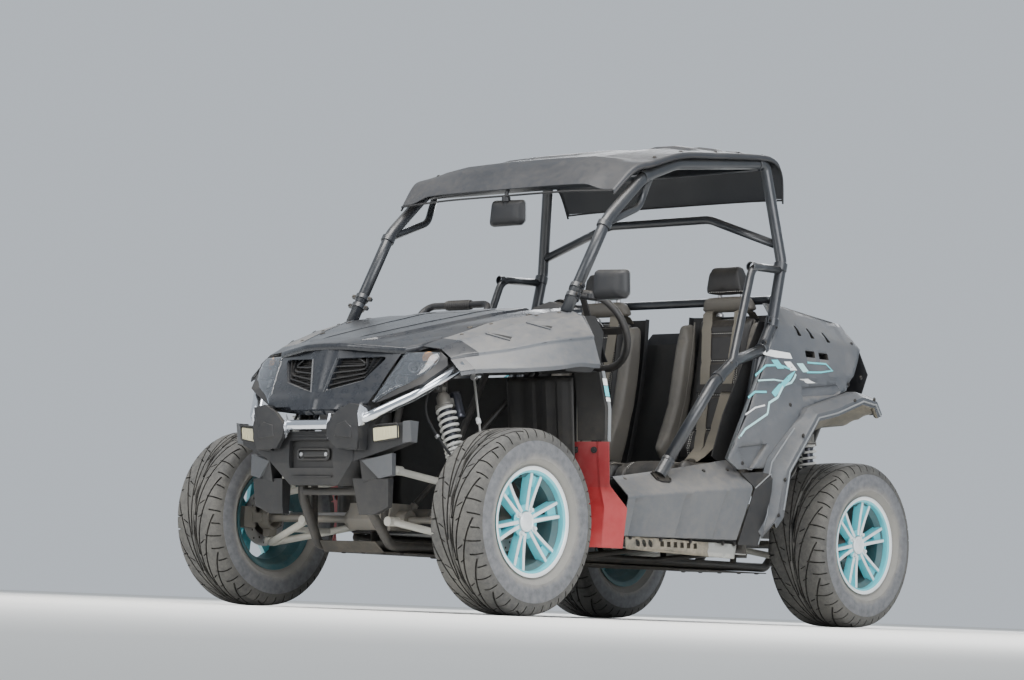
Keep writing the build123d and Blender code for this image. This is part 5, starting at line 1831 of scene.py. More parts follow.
def fold_y(x, z):
    """Adds the pressed folds to the plain face."""
    y = side_y(x, z)
    # long crease: the band under it sits back
    crease = 930 + (x + 305) * (994 - 930) / (-899 + 305)
    below = min(1.0, max(0.0, (crease - z) / 7))
    keep = min(1.0, max(0.0, (z - (crease - 120)) / 90))
    y -= 6.5 * below * keep
    # lighter lower plane that runs up to the flare
    ramp = 690 + (x + 195) * (848 - 690) / (-563 + 195)
    if x > -600:
        y += 5.0 * min(1.0, max(0.0, (ramp - z) / 8)) - 2.0
    # rear corner post
    y += 5.0 * min(1.0, max(0.0, (-1000 - (x + (z - 1000) * 0.25)) / 10))
    return y


def pushed(loop, c, k):
    return [(lerp(p[0], c[0], k), lerp(p[1], c[1], k)) for p in loop]


def centre(loop):
    return (sum(p[0] for p in loop) / len(loop), sum(p[1] for p in loop) / len(loop))


def softened(loop, r, arc=3):
    return [(p.x, p.y) for p in rounded([(a, b_, 0) for a, b_ in loop], r, arc,
                                        closed=True)]


SLOTS = [[(x + 16, z + 20), (x + 2, z + 20), (x - 26, z - 20), (x + 2, z - 20)]
         for x, z in ((-682, 1165), (-779, 1163), (-900, 1158))]
SLOTS += [[(x + 34, 1088), (x - 34, 1090), (x - 34, 1064), (x + 34, 1062)]
          for x in (-748, -845)]
TRAY = [(-655, 934), (-908, 966), (-924, 938), (-880, 922), (-640, 896)]
WEDGE = [(-206, 672), (-374, 694), (-402, 700), (-302, 592), (-276, 590)]
SIDE_SHAPE = [(-546, 1262), (-545, 1190), (-480, 1085), (-152, 624), (-215, 588),
              (-425, 607), (-640, 841), (-965, 949), (-1146, 1130), (-1130, 1235),
              (-620, 1262)]


def make_side(side, sign):
    loops = [softened(s_, 4) for s_ in SLOTS] + [softened(TRAY, 9),
                                                 softened(WEDGE, 9)]
    pts, tris = cut_mesh(SIDE_SHAPE, loops, 17)
    b = Build()
    b.add([(x, fold_y(x, z), z) for x, z in pts], tris)
    # lipped slots, and the sunk tray and wedge with their floors
    for i, loop in enumerate(loops):
        c = centre(loop)
        flat = i >= len(SLOTS)
        deep = 12 if flat else 16
        k = 0.10 if flat else 0.04
        rings = [[Vector((x, fold_y(x, z), z)) for x, z in loop],
                 [Vector((x, fold_y(x, z) - 3, z)) for x, z in pushed(loop, c, 0.015)],
                 [Vector((x, side_y(x, z) - deep, z)) for x, z in pushed(loop, c, k)]]
        # slot walls take the dark groove colour, painted shade inside the slots
        b.loft(rings, 0 if flat else 2, caps=False)
        if flat:
            inner = pushed(loop, c, k)
            n = len(inner)
            b.add([Vector((x, side_y(x, z) - deep, z)) for x, z in inner]
                  + [Vector((c[0], side_y(*c) - deep + 1.5, c[1]))],
                  [(q, (q + 1) % n, n) for q in range(n)], 0)
    # rim fold round the outline
    outline_pts = SIDE_SHAPE
    ring0, ring1 = [], []
    c = (-620, 960)
    for x, z in outline_pts:
        ring0.append(Vector((x, fold_y(x, z), z)))
        ring1.append(Vector((lerp(x, c[0], 0.006), fold_y(x, z) - 16,
                             lerp(z, c[1], 0.006))))
    b.loft([ring0, ring1], 1, caps=False)
    b.v = [(x, y * sign, z) for x, y, z in b.v]
    piece = b.make("rear_panel_%s_skin" % side, ["panel", "edge", "groove"],
                   replaces=("rear_panel_" + side,), smooth=24, weld=0.3)
    out_way = sum(p.normal.y * p.area for p in piece.data.polygons) * sign
    s_ = piece.modifiers.new("wall", "SOLIDIFY")
    s_.thickness = 3 * MM
    s_.offset = -1 if out_way > 0 else 1

    d = Build()

    def decal(loop, mat, lift=1.0, cell=26):
        """Thin film lying on the side, from its (x, z) outline."""
        v2, t2 = cut_mesh(loop, [], cell)
        d.add([(x, (fold_y(x, z) + lift) * sign, z) for x, z in v2], t2, mat)

    def stripe(line, w, mat, lift=1.4):
        """Angular line of even width."""
        left, right = [], []
        p = [Vector((a, c_)) for a, c_ in line]
        for i, q in enumerate(p):
            t0 = (q - p[i - 1]).normalized() if i else (p[1] - q).normalized()
            t1 = (p[i + 1] - q).normalized() if i < len(p) - 1 else t0
            t = (t0 + t1).normalized()
            nrm = Vector((-t.y, t.x)) * (w / 2 / max(0.5, abs(t.dot(t0))))
            left.append(q + nrm)
            right.append(q - nrm)
        decal([(q.x, q.y) for q in left + right[::-1]], mat, lift, max(14, w))

    # generic angular graphic in turquoise, pale blue and white
    decal([(-392, 1062), (-480, 1070), (-600, 1068), (-612, 1046), (-500, 1042),
           (-430, 1046)], 2, 1.0)
    stripe([(-352, 958), (-430, 1004), (-520, 1014), (-590, 1004)], 8, 0)
    stripe([(-366, 940), (-470, 952), (-560, 950)], 6, 1)
    for k in range(3):
        x = -470 - 84 * k
        decal([(x, 1030), (x - 44, 1034), (x - 80, 1002), (x - 36, 998)],
              (0, 2, 1)[k], 1.0)
    stripe([(-716, 1040), (-850, 1046), (-886, 1022), (-800, 1008), (-700, 1000)],
           7, 0)
    stripe([(-620, 986), (-592, 950), (-540, 936), (-486, 884), (-420, 856)], 9, 1)
    decal([(-452, 900), (-566, 974), (-622, 1000), (-560, 940), (-470, 884)], 0,
          1.0)
    decal([(-640, 968), (-700, 974), (-760, 962), (-700, 956)], 2, 1.0)
    stripe([(-296, 868), (-344, 894), (-420, 900)], 8, 0)
    stripe([(-222, 706), (-262, 744), (-400, 812), (-424, 858)], 9, 1)
    stripe([(-262, 800), (-330, 832), (-394, 846)], 6, 2)
    d.make("rear_graphic_%s" % side, ["sky", "ice", "white", "tint"],
           slot="grey_panel", smooth=30)
    e = Build()
    for x, z in ((-565, 1225), (-1100, 1150), (-1085, 1010), (-560, 860),
                 (-430, 640), (-240, 612), (-990, 975)):
        y = side_y(x, z)
        e.lathe([(-2, 8), (2.0, 8), (3.4, 6), (3.6, 2.5), (2.4, 2.2), (2.4, 0.5)],
                (x, (fold_y(x, z)) * sign, z), (0, sign, 0.15), 14, 0)
    e.make("rear_panel_%s_clips" % side, ["bolt"], slot="grey_panel")


for side, sign in (("left", 1), ("right", -1)):
    make_side(side, sign)

# ------------------------------------------------------------------ rear flares
ARCH_IN = [(-372, 318), (-404, 408), (-436, 612), (-634, 852), (-760, 886),
           (-956, 940), (-1066, 928), (-1112, 860)]
ARCH = [(-384, 392), (-424, 428), (-462, 600), (-653, 828), (-780, 856),
        (-960, 917), (-1060, 907), (-1096, 860)]
b = Build()


def arch_row(t):
    k = t * (len(ARCH) - 1)
    i = min(int(k), len(ARCH) - 2)
    f = k - i
    a = (lerp(ARCH_IN[i][0], ARCH_IN[i + 1][0], f),
         lerp(ARCH_IN[i][1], ARCH_IN[i + 1][1], f))
    o = (lerp(ARCH[i][0], ARCH[i + 1][0], f), lerp(ARCH[i][1], ARCH[i + 1][1], f))
    dx, dz = ARCH[i + 1][0] - ARCH[i][0], ARCH[i + 1][1] - ARCH[i][1]
    n = math.hypot(dx, dz)
    return Vector(a), Vector(o), Vector((-dz / n, dx / n))


outer, liner, inner_edge = [], [], []
steps = 56
prev = None
for k in range(steps + 1):
    a, o, n = arch_row(k / steps)
    # ease the change of direction at the corners
    _, _, n0 = arch_row(max(0, (k - 1.2) / steps))
    _, _, n1 = arch_row(min(1, (k + 1.2) / steps))
    n = (n + n0 + n1).normalized()
    if n.y > 0 and k > 30:
        n = n
    # n points to the wheel side: down and back along the arch
    n = n if (Vector((-1020, 330)) - o).dot(n) > 0 else -n
    end = max(0.0, (k / steps - 0.86) / 0.14)
    wide = 78.0 * max(0.0, min(1.0, (820 - a.y) / 330))
    lead = a - n * wide
    ring = [(lead + n * 1, side_y(lead.x, lead.y) - 4),
            (lead, side_y(lead.x, lead.y) + 5),
            (a.lerp(lead, 0.25), 714),
            (a.lerp(o, 0.80), 740), (a.lerp(o, 0.97) - n * 0.5, 748),
            (o + n * 5, 750.5), (o + n * 14, 750.5), (o + n * 17, 747),
            (o + n * 26, 747 - 2 * end), (o + n * 27, 738), (o + n * 18, 722)]
    outer.append([Vector((p.x, y, p.y)) for p, y in ring])
b.loft(outer, 0, closed=False)
faces_per = len(outer[0]) - 1
for i in range(len(b.f)):
    j = i % faces_per
    if j in (8, 9):
        b.m[i] = 2
# raised stripe along the arch and the groove beside it
line = [Vector((r[6].x, 751.4, r[6].z)) for r in outer[9:]]
b.tube(line, 2.2, 6, 1)
line = [outer[k][2].lerp(outer[k][1], 0.4) + Vector((0, 1.6, 0.0))
        for k in range(9, 22)]
b.tube(line, 1.8, 6, 1)
# dark well wall and the dusty underside, with two pressed ribs
LOW = [(-488, 410), (-520, 600), (-750, 745), (-960, 800), (-1110, 818)]
TOP = [(-437, 410), (-462, 600), (-648, 822), (-958, 902), (-1094, 868)]
rows_ = []
for k in range(33):
    t = k / 32 * 4
    i = min(int(t), 3)
    f = t - i
    lo = Vector((lerp(LOW[i][0], LOW[i + 1][0], f), 552, lerp(LOW[i][1],
                                                             LOW[i + 1][1], f)))
    hi = Vector((lerp(TOP[i][0], TOP[i + 1][0], f), 712, lerp(TOP[i][1],
                                                             TOP[i + 1][1], f)))
    row = []
    for j in range(9):
        q = j / 8
        p = lo.lerp(hi, q)
        p.z += 4.0 * (1 if j in (2, 3, 5, 6) else 0)
        row.append(p)
    row.append(Vector((hi.x, 728, hi.z + 2)))
    rows_.append(row)
b.loft(rows_, 2, closed=False)
for y in (722,):
    pass
b.mirror_y()
piece = b.make("rear_fender_skins", ["flare", "edge", "olive", "groove"],
               replaces=("rear_fenders",), smooth=28)
thicken(piece, 3.0, 0.0, rim=0)
b = Build()
for x, z in ((-1040, 916), (-905, 900), (-560, 738), (-450, 560), (-414, 420)):
    b.bolt((x, 749, z), (0, 1, 0), 6, 3, 0, 9)
b.mirror_y()
b.make("rear_fender_bolts", ["bolt"], slot="grey_panel")

# ------------------------------------------------------------------ sills
# height, front end, rear end and y of the sill face down its profile, by k:
# 0 inner top, 1 top edge, 2 ridge, 3 under the ridge, 4 middle, 5 bottom
SILL_F = [(598, 518), (622, 522), (733, 451), (735, 440), (722, 384), (702, 305)]
SILL_R = [(598, 622), (622, 624), (719, 529), (722, 514), (714, 424), (702, 318)]


def sill_front(z):
    return 440 if z > 540 else (lerp(492, 440, (z - 452) / 88) if z > 452
                                else lerp(490, 492, (z - 300) / 152))


def sill_rear(z):
    return (lerp(-280, -228, (z - 520) / 120) if z > 520
            else lerp(-205, -280, (z - 300) / 220))


def pocket(x):
    """Depth of the scooped pockets along the sill."""
    deep = 0.0
    for x0, w in ((446, 96), (140, 120), (-112, 66)):
        if x0 - w < x < x0:
            deep = max(deep, 27 * (1 - (x0 - x) / w) ** 1.3)
    return deep


def make_sills():
    b = Build()
    cols = sorted(set([0.0, 1.0] + [k / 46 for k in range(47)]
                      + [u for x0 in (446, 140, -112)
                         for u in ((492 - x0) / 772 - 0.0005,
                                   (492 - x0) / 772 + 0.0015)]))
    rings = []
    for u in cols:
        x = lerp(492, -280, u)
        f = [(lerp(p[0], q[0], u), lerp(p[1], q[1], u)) for p, q in
             zip(SILL_F, SILL_R)]
        line = []
        for k, (p, q) in enumerate(zip(f[:-1], f[1:])):
            n = (1, 4, 1, 5, 6)[k]
            for j in range(n):
                t = j / n
                y, z = lerp(p[0], q[0], t), lerp(p[1], q[1], t)
                if k >= 3:
                    v = (k - 3) + t
                    shape = min(1.0, v / 0.35) * min(1.0, (2.0 - v) / 0.5)
                    y -= pocket(x) * shape
                line.append((y, z))
        line.append(f[-1])
        pts_ = []
        for y, z in line:
            pts_.append(Vector((lerp(sill_front(z), sill_rear(z), u), y, z)))
        # folded under at the bottom
        pts_.append(pts_[-1] + Vector((0, -24, -3)))
        rings.append(pts_)
    b.loft(rings, 0, closed=False)
    b.mirror_y()
    piece = b.make("rocker_panel_skins", ["panel"], replaces=("rocker_panels",),
                   smooth=30)
    thicken(piece, 3.5, -1.0, rim=0.8)


make_sills()
b = Build()
# push clips on the dusty top, and the foot clamps of the side bars
for x, y, z in ((400, 640, 516), (180, 646, 541), (-60, 650, 573), (-200, 656, 584)):
    b.lathe([(-2, 8), (1.6, 8), (3, 6), (3.2, 0.5)], (x, y, z), (0.05, 0.55, 0.83),
            14, 0)
foot = Vector((176, 655, 586))
way = (Vector((-62, 680, 905)) - foot).normalized()
b.lathe([(-58, 20), (-58, 23.5), (6, 23.5), (9, 25.5), (20, 25.5), (22, 24), (24, 22)],
        foot, way, 26, 1, cap0=True)
n = Vector((0.105, 0.584, 0.805)).normalized()
u, w = frame_of(n)
spot = Vector((206, 655, 533))
b.prism([(-38, -22), (-20, -34), (20, -34), (38, -22), (38, 22), (20, 34), (-20, 34),
         (-38, 22)], spot, u, w, n, 6, 0, 0.04)
for a, c in ((-30, -18), (-30, 18), (30, -18), (30, 18)):
    b.bolt(spot + u * a + w * c + n * 6, n, 5, 4, 0)
b.mirror_y()
b.make("sill_fittings", ["bolt", "tube"], slot="frame")

# dark tail of the sill with its light edge
dress("rocker_tails", "black", 2)
b = Build()
loop = [Vector(p) for p in ((-244, 713, 560), (-294, 722, 520), (-400, 719, 588),
                            (-384, 714, 424), (-346, 705, 306), (-232, 703, 306))]
loop[2] = Vector((-404, 716, 584))
b.tube(rounded([p + Vector((0, 1.5, 0)) for p in loop[1:5]], 6, 2), 2.6, 6, 0)
b.mirror_y()
b.make("rocker_tail_edges", ["edge"], slot="grey_panel")

# ------------------------------------------------------------------ red guards
# two reds: the darker copy on the upper part of each guard is painted shade from the
# fender above, with more dust
M["guard"] = surface("red_guard", srgb(150, 32, 38), 0.4, vary=0.08, dust=0.10,
                     up=0.15, grain=0.6, scuff=0.12, dust_colour=srgb(206, 140, 124))
M["guard_low"] = surface("red_guard_painted_shade_dusty", srgb(138, 32, 38), 0.45, vary=0.12,
                         dust=0.22, up=0.2, grain=0.8, scuff=0.10,
                         dust_colour=srgb(150, 110, 102))
GUARD = [(257, (622, 625), (585, 690), (500, 722)),
         (404, (622, 575), (590, 700), (508, 744)),
         (480, (624, 565), (606, 690), (596, 728)),
         (638, (626, 565), (614, 680), (604, 726))]


def guard_row(z, w):
    for (z0, *a), (z1, *c) in zip(GUARD[:-1], GUARD[1:]):
        if z0 <= z <= z1:
            t = (z - z0) / (z1 - z0)
            p = [Vector((lerp(i[0], j[0], t), lerp(i[1], j[1], t)))
                 for i, j in zip(a, c)]
            break
    if w <= 1:
        q = p[0].lerp(p[1], w)
    else:
        q = p[1].lerp(p[2], w - 1)
    return Vector((q.x, q.y, z))


b = Build()
zs = [257, 262] + [270 + 12 * k for k in range(31)] + [638]
ws = [0, 0.08, 0.25, 0.5, 0.75, 0.92, 0.97, 1.03, 1.08, 1.3, 1.6, 1.9, 2.0]
rows_ = []
for z in zs:
    row = []
    for w in ws:
        p = guard_row(z, w)
        swell = 5.0 * math.sin(math.pi * min(1, w)) if w < 1 else 3.0
        p += Vector((swell * 0.8, 0.5 * swell, 0))
        row.append(p)
    rows_.append(row)
b.loft(rows_, 0, closed=False)
# faces above z 470 take the darker red: painted shade on the guard's upper part, with
# more dust
for i, f in enumerate(b.f):
    c = sum((Vector(b.v[k]) for k in f), Vector()) / len(f)
    if c.z > 470:
        b.m[i] = 1
b.mirror_y()
piece = b.make("mud_guard_skins", ["guard", "guard_low"], replaces=("mud_guards",),
               smooth=40)
thicken(piece, 3.5, -1.0, rim=0.8)
b = Build()
for z, w in ((608, 0.20), (608, 0.86), (520, 0.1), (430, 0.42), (300, 0.3)):
    p = guard_row(z, w) + Vector((4.5, 3, 0))
    b.bolt(p, (0.9, 0.45, 0), 7, 4, 0, 12)
b.mirror_y()
b.make("mud_guard_bolts", ["bolt"], slot="red_panel")

# ------------------------------------------------------------------ scuttle sides
dress("front_side_panels", "liner", 1)
b = Build()
EDGE = [(642, (612, 712), (588, 718)), (760, (630, 724), (606, 730)),
        (884, (688, 736), (664, 742))]
rings = []
for k in range(25):
    z = lerp(640, 888, k / 24)
    i = 0 if z < 760 else 1
    (z0, a0, c0), (z1, a1, c1) = EDGE[i], EDGE[i + 1]
    t = (z - z0) / (z1 - z0)
    a = Vector((lerp(a0[0], a1[0], t), lerp(a0[1], a1[1], t), z))
    c = Vector((lerp(c0[0], c1[0], t), lerp(c0[1], c1[1], t), z))
    a = c.lerp(a, 0.42)
    d_ = (c - a).normalized()
    o = Vector((d_.y, -d_.x, 0)).normalized()
    o = o if o.y > 0 else -o
    rings.append([a - d_ * 3 + o * 1, a + o * 3.5, c + o * 3.5, c + d_ * 2 + o * 1,
                  c - o * 5, a - o * 1])
b.loft(rings, 0)
# small plain film on the edge
for z0, z1, m_ in ((838, 862, 2), (800, 836, 1), (782, 796, 2)):
    quad = []
    for z in (z0, z1):
        i = 0 if z < 760 else 1
        (za, a0, c0), (zb, a1, c1) = EDGE[i], EDGE[i + 1]
        t = (z - za) / (zb - za)
        for p0, p1 in ((a0, a1), (c0, c1)):
            if p0 is a0:
                p0 = (lerp(c0[0], a0[0], 0.75), lerp(c0[1], a0[1], 0.75))
                p1 = (lerp(c1[0], a1[0], 0.75), lerp(c1[1], a1[1], 0.75))
            quad.append(Vector((lerp(p0[0], p1[0], t), lerp(p0[1], p1[1], t) + 4.6,
                                z)))
    b.add(quad, [(0, 1, 3, 2)], m_)
b.mirror_y()
b.make("scuttle_edges", ["edge", "sky", "white"], slot="grey_panel", smooth=35,
       bevel=0.8, segments=1)

# ------------------------------------------------------------------ steps
dress("side_steps", "alu", 0.6)
outline_ = [(446, 306), (440, 260), (180, 262), (-40, 248), (-214, 246), (-232, 300)]
holes = []
for x in (372, 334, 296):
    holes.append([(x + 13 * math.cos(a) + 4 * math.sin(a), 283 + 14 * math.sin(a))
                  for a in (math.pi * k / 6 for k in range(12))])
for k in range(6):
    x = 226 - 40 * k
    holes.append([(x + 12, 274), (x + 12, 294), (x - 10, 295), (x - 10, 275)])
pts, tris = cut_mesh(outline_, holes, 16)
b = Build()
b.add([(x, 688 + (300 - z) * 0.06, z) for x, z in pts], tris)
for i, t in enumerate(tris):
    c = sum(pts[k][0] for k in t) / 3
    if c < -52:
        b.m[i] = 1
b.mirror_y()
piece = b.make("step_rails", ["olive", "alu"], slot="step_metal")
thicken(piece, 3.0, -1.0, rim=0).modifiers["wall"].use_even_offset = False
b = Build()
b.tube([(430, 684, 262), (-220, 684, 250)], 5, 10, 0)
for x in (420, 240, 60, -140, -210):
    b.bolt((x, 692, 302), (0, 1, 0), 6, 4, 1, 9)
# ladder rungs behind the holes
for k in range(7):
    x = 246 - 40 * k
    b.block(x, x + 3, 660, 686, 268, 300, 0)
b.mirror_y()
b.make("step_fittings", ["olive", "bolt"], slot="step_metal")

# ------------------------------------------------------------------ wheel wells
b = Build()
LINE = [(306, (636, 596), (644, 500), (634, 400), (642, 295)),
        (560, (640, 596), (652, 500), (640, 400), (652, 295)),
        (868, (668, 596), (690, 500), (676, 400), (690, 295))]
rows_ = []
for k in range(30):
    z = lerp(306, 868, k / 29)
    i = 0 if z < 560 else 1
    (z0, *a), (z1, *c) = LINE[i], LINE[i + 1]
    t = (z - z0) / (z1 - z0)
    p = [(lerp(u_[0], v_[0], t), lerp(u_[1], v_[1], t)) for u_, v_ in zip(a, c)]
    row = []
    for j in range(25):
        q = j / 24 * 3
        m_ = min(int(q), 2)
        f = q - m_
        x, y = lerp(p[m_][0], p[m_ + 1][0], f), lerp(p[m_][1], p[m_ + 1][1], f)
        x += 5.0 * (1 if (j // 3) % 2 else -0.4) * min(1.0, (z - 306) / 40)
        row.append(Vector((x, y, z)))
    rows_.append(row)
b.loft(rows_, 0, closed=False)
b.mirror_y()
piece = b.make("wheel_well_skins", ["liner"], replaces=("wheel_well_liners",),
               smooth=30)
thicken(piece, 3.0, -1.0, rim=0)
# slim link rod and its fitting beside each front spring, and two short hoses
b = Build()
rod = [Vector((992, 408, 846)), Vector((1016, 470, 640)), Vector((1030, 520, 452))]
b.tube(rod, 4.5, 10, 0)
for p in (rod[0], rod[2]):
    b.lathe([(-9, 10), (-7, 12), (7, 12), (9, 10)], p, (1, 0.2, 0), 16, 1, cap0=True,
            cap1=True)
b.lathe([(-10, 7), (-4, 9), (12, 9), (16, 6)], (1010, 452, 690), (0.2, 0.5, -0.8), 14,
        2, cap0=True, cap1=True)
hose = smooth_line([(1100, 300, 820), (1148, 326, 704), (1118, 412, 570),
                    (1066, 494, 480), (1040, 514, 456)], 14)
b.tube(hose, 5, 10, 3)
for q in (0.04, 0.5, 0.95):
    i_ = int(q * (len(hose) - 1))
    b.lathe([(-6, 6), (-5, 8.5), (5, 8.5), (6, 6)], hose[i_],
            hose[i_ + 1] - hose[i_ - 1], 14, 1, cap0=True, cap1=True)
b.mirror_y()
b.make("front_links", ["alu", "steel", "white", "black"], slot="arm_metal")

# ------------------------------------------------------------------ seats
M["seat_dark"] = surface("seat_vinyl", srgb(32, 32, 34), 0.46, vary=0.10, dust=0.04,
                         up=0.15, grain=2.2, grain_scale=520, scuff=0.05)
M["seat_grey"] = surface("seat_sides", srgb(92, 89, 84), 0.55, vary=0.08,
                         dust=0.10, up=0.25, grain=2.0, grain_scale=520)
M["thread"] = surface("white_thread", srgb(214, 212, 206), 0.7, vary=0.06,
                      dust=0.12, up=0.2, grain=1.0)
M["webbing"] = surface("belt_webbing", srgb(116, 111, 101), 0.8, vary=0.08,
                       dust=0.12, up=0.2, grain=2.6, grain_scale=760)

SEAT = 320
PADS = {
    # name: (half width or (y0, y1), outline in (x, z), material)
    "cushion": ((-146, 146), [(-90, 486), (-72, 556), (-90, 592), (-134, 606),
                              (-300, 580), (-430, 562), (-470, 552), (-486, 486)],
                "seat_dark"),
    "back": ((-146, 146), [(-484, 628), (-520, 740), (-562, 900), (-592, 1100),
                           (-600, 1230), (-648, 1232), (-646, 1100), (-622, 900),
                           (-560, 628)], "seat_dark"),
    "headrest": ((-98, 98), [(-578, 1312), (-570, 1396), (-590, 1428), (-626, 1430),
                             (-648, 1396), (-654, 1312)], "seat_dark"),
    "neck": ((-108, 108), [(-604, 1240), (-584, 1298), (-600, 1306), (-648, 1306),
                           (-656, 1240)], "seat_grey"),
    "wing_low": ((154, 201), [(-98, 452), (-80, 560), (-108, 620), (-300, 632),
                              (-396, 648), (-440, 620), (-500, 560), (-505, 470),
                              (-478, 450)], "seat_dark"),
    "wing_high": ((154, 201), [(-408, 668), (-476, 860), (-526, 1096), (-562, 1200),
                               (-636, 1204), (-634, 1062), (-606, 866), (-530, 610),
                               (-450, 626)], "seat_grey"),
}
SEAMS = {"cushion": [-84, 84], "back": [-84, 84], "headrest": []}


def pad_start(name, y0, y1, outline_, shrink):
    """Closed box-like start shape, a little smaller, with eased corners."""
    cx = sum(p[0] for p in outline_) / len(outline_)
    cz = sum(p[1] for p in outline_) / len(outline_)
    small = []
    for x, z in outline_:
        d = math.hypot(x - cx, z - cz)
        small.append(((x - cx) * (1 - shrink / d) + cx, (z - cz) * (1 - shrink / d)
                      + cz))
    ring = [(p.x, p.y) for p in rounded([(a, c, 0) for a, c in small], 16, 3,
                                        closed=True)]
    mx = sum(p[0] for p in ring) / len(ring)
    mz = sum(p[1] for p in ring) / len(ring)
    b = Build()
    rings = []
    for y, k in ((y0 + shrink, 0.10), (y0 + shrink + 5, 0.03), (y0 + shrink + 14, 0),
                 (y1 - shrink - 14, 0), (y1 - shrink - 5, 0.03), (y1 - shrink, 0.10)):
        rings.append([Vector((lerp(x, mx, k), y, lerp(z, mz, k))) for x, z in ring])
    b.loft(rings, 0)
    return b


def baked(obj):
    """The object's mesh with its modifiers applied."""
    dg = bpy.context.evaluated_depsgraph_get()
    mesh = bpy.data.meshes.new_from_object(obj.evaluated_get(dg))
    obj.modifiers.clear()
    obj.data = mesh
    return mesh


def coords(mesh):
    co = np.empty(len(mesh.vertices) * 3)
    mesh.vertices.foreach_get("co", co)
    return co.reshape(-1, 3)


def normals_of(mesh):
    no = np.empty(len(mesh.vertices) * 3)
    mesh.vertices.foreach_get("normal", no)
    return no.reshape(-1, 3)


def put_back(mesh, co):
    mesh.vertices.foreach_set("co", np.ascontiguousarray(co).ravel())
    mesh.update()


pads, starts = {}, {}
for name, ((y0, y1), line_, mat) in PADS.items():
    sides = (("", 1),) if y0 < 0 else (("_a", 1), ("_b", -1))
    for tag, sgn in sides:
        ya, yb = sorted((y0 * sgn, y1 * sgn))
        obj = pad_start(name, ya, yb, line_, 5).make("pad_" + name + tag, [mat], None)
        r = obj.modifiers.new("voxels", "REMESH")
        r.mode = "VOXEL"
        r.voxel_size = 0.0095
        baked(obj)
        pads[name + tag] = obj
        starts[name + tag] = coords(obj.data).copy()
for key, obj in pads.items():
    c = obj.modifiers.new("fill", "CLOTH")
    s_ = c.settings
    s_.quality = 5
    s_.mass = 0.2
    s_.tension_stiffness = s_.compression_stiffness = 12
    s_.shear_stiffness = 5
    s_.bending_stiffness = 0.8
    s_.use_pressure = True
    s_.uniform_pressure_force = 4.0
    s_.effector_weights.gravity = 0.0
    c.collision_settings.use_collision = False
    c.collision_settings.use_self_collision = False
    c.point_cache.frame_start = 1
    c.point_cache.frame_end = 24
for f in range(1, 21):
    bpy.context.scene.frame_set(f)
for obj in pads.values():
    baked(obj)
bpy.context.scene.frame_set(1)
CAP = {"cushion": 0.016, "back": 0.013, "headrest": 0.013, "neck": 0.008,
       "wing_low": 0.010, "wing_high": 0.010}
for key, obj in pads.items():
    mesh = obj.data
    base = starts[key]
    co = coords(mesh)
    d = co - base
    n = np.linalg.norm(d, axis=1)[:, None]
    cap = CAP[key.replace("_a", "").replace("_b", "")]
    co = base + d * np.minimum(1.0, cap / np.maximum(n, 1e-9))
    put_back(mesh, co)
    sub = obj.modifiers.new("smooth", "SUBSURF")
    sub.levels = sub.render_levels = 1
    mesh = baked(obj)
    # sewn channels, pressed in where the seams run
    co = coords(mesh).copy()
    no = normals_of(mesh)
    kind = key.split("_")[0]
    depth = np.zeros(len(co))
    for y in SEAMS.get(kind, []):
        lean = 0.0
        dist = np.abs(co[:, 1] - (y + lean) * MM)
        depth += 0.0075 * np.exp(-(dist / 0.0065) ** 2)
    if kind == "cushion":
        for x in (-200, -320):
            depth += 0.006 * np.exp(-((co[:, 0] - x * MM) / 0.006) ** 2) \
                * (np.abs(co[:, 1]) < 0.082)
    if kind == "back":
        for z in (760, 900, 1040, 1150):
            depth += 0.006 * np.exp(-((co[:, 2] - z * MM) / 0.006) ** 2) \
                * (np.abs(co[:, 1]) < 0.082)
    faces_user = (no[:, 0] > 0.25) | (no[:, 2] > 0.5) if kind != "cushion" \
        else (no[:, 2] > 0.3) | (no[:, 0] > 0.6)
    co -= no * (depth * faces_user)[:, None]
    # slight uneven give
    for i in range(len(co)):
        p = co[i]
        co[i] += no[i] * 0.0016 * noise.noise(Vector((p[0] * 14, p[1] * 14 + 3,
                                                     p[2] * 14)))
    put_back(mesh, co)
    if kind in ("headrest", "neck"):
        z = co[:, 2] / MM
        k = np.where(z > 1308, 1.0 - 0.30 * np.clip((z - 1312) / 120, 0, 1),
                     1.0 + 0.30 * np.clip((1300 - z) / 60, 0, 1))
        co[:, 1] *= k
        put_back(mesh, co)
    mesh.materials.clear()
    mesh.materials.append(M[PADS[key.replace("_a", "").replace("_b", "")][2]])
    mesh.shade_smooth()


def surface_of(objs):
    verts, faces = [], []
    for obj in objs:
        n = len(verts)
        verts += [Vector(v.co) / MM for v in obj.data.vertices]
        faces += [tuple(i + n for i in p.vertices) for p in obj.data.polygons]
    return BVHTree.FromPolygons(verts, faces)


front_tree = surface_of([pads["cushion"], pads["back"], pads["headrest"],
                         pads["neck"]])
all_tree = surface_of(list(pads.values()))


def on_back(y, z, lift=1.0, tree=front_tree):
    p, n, _, _ = tree.ray_cast(Vector((0, y, z)), Vector((-1, 0, 0)))
    if p is None:
        p, n = Vector((-590, y, z)), Vector((1, 0, 0))
    return p + n * lift, n


def on_top(x, y, lift=1.0, tree=front_tree):
    p, n, _, _ = tree.ray_cast(Vector((x, y, 900)), Vector((0, 0, -1)))
    if p is None:
        p, n = Vector((x, y, 590)), Vector((0, 0, 1))
    return p + n * lift, n


def stitches(b, pts, mat):
    """Short raised threads along a line on the cover."""
    pts = smooth_line([p for p, _ in pts], 3)
    gone = 0.0
    start = pts[0]
    for a, c in zip(pts[:-1], pts[1:]):
        gone += (c - a).length
        if gone > 9:
            way = (c - start).normalized()
            u, w = frame_of(way)
            b.prism([(-0.8, -0.8), (0.8, -0.8), (0.8, 0.8), (-0.8, 0.8)], c, u, w,
                    way, 5.5, mat)
            gone = 0.0
            start = c


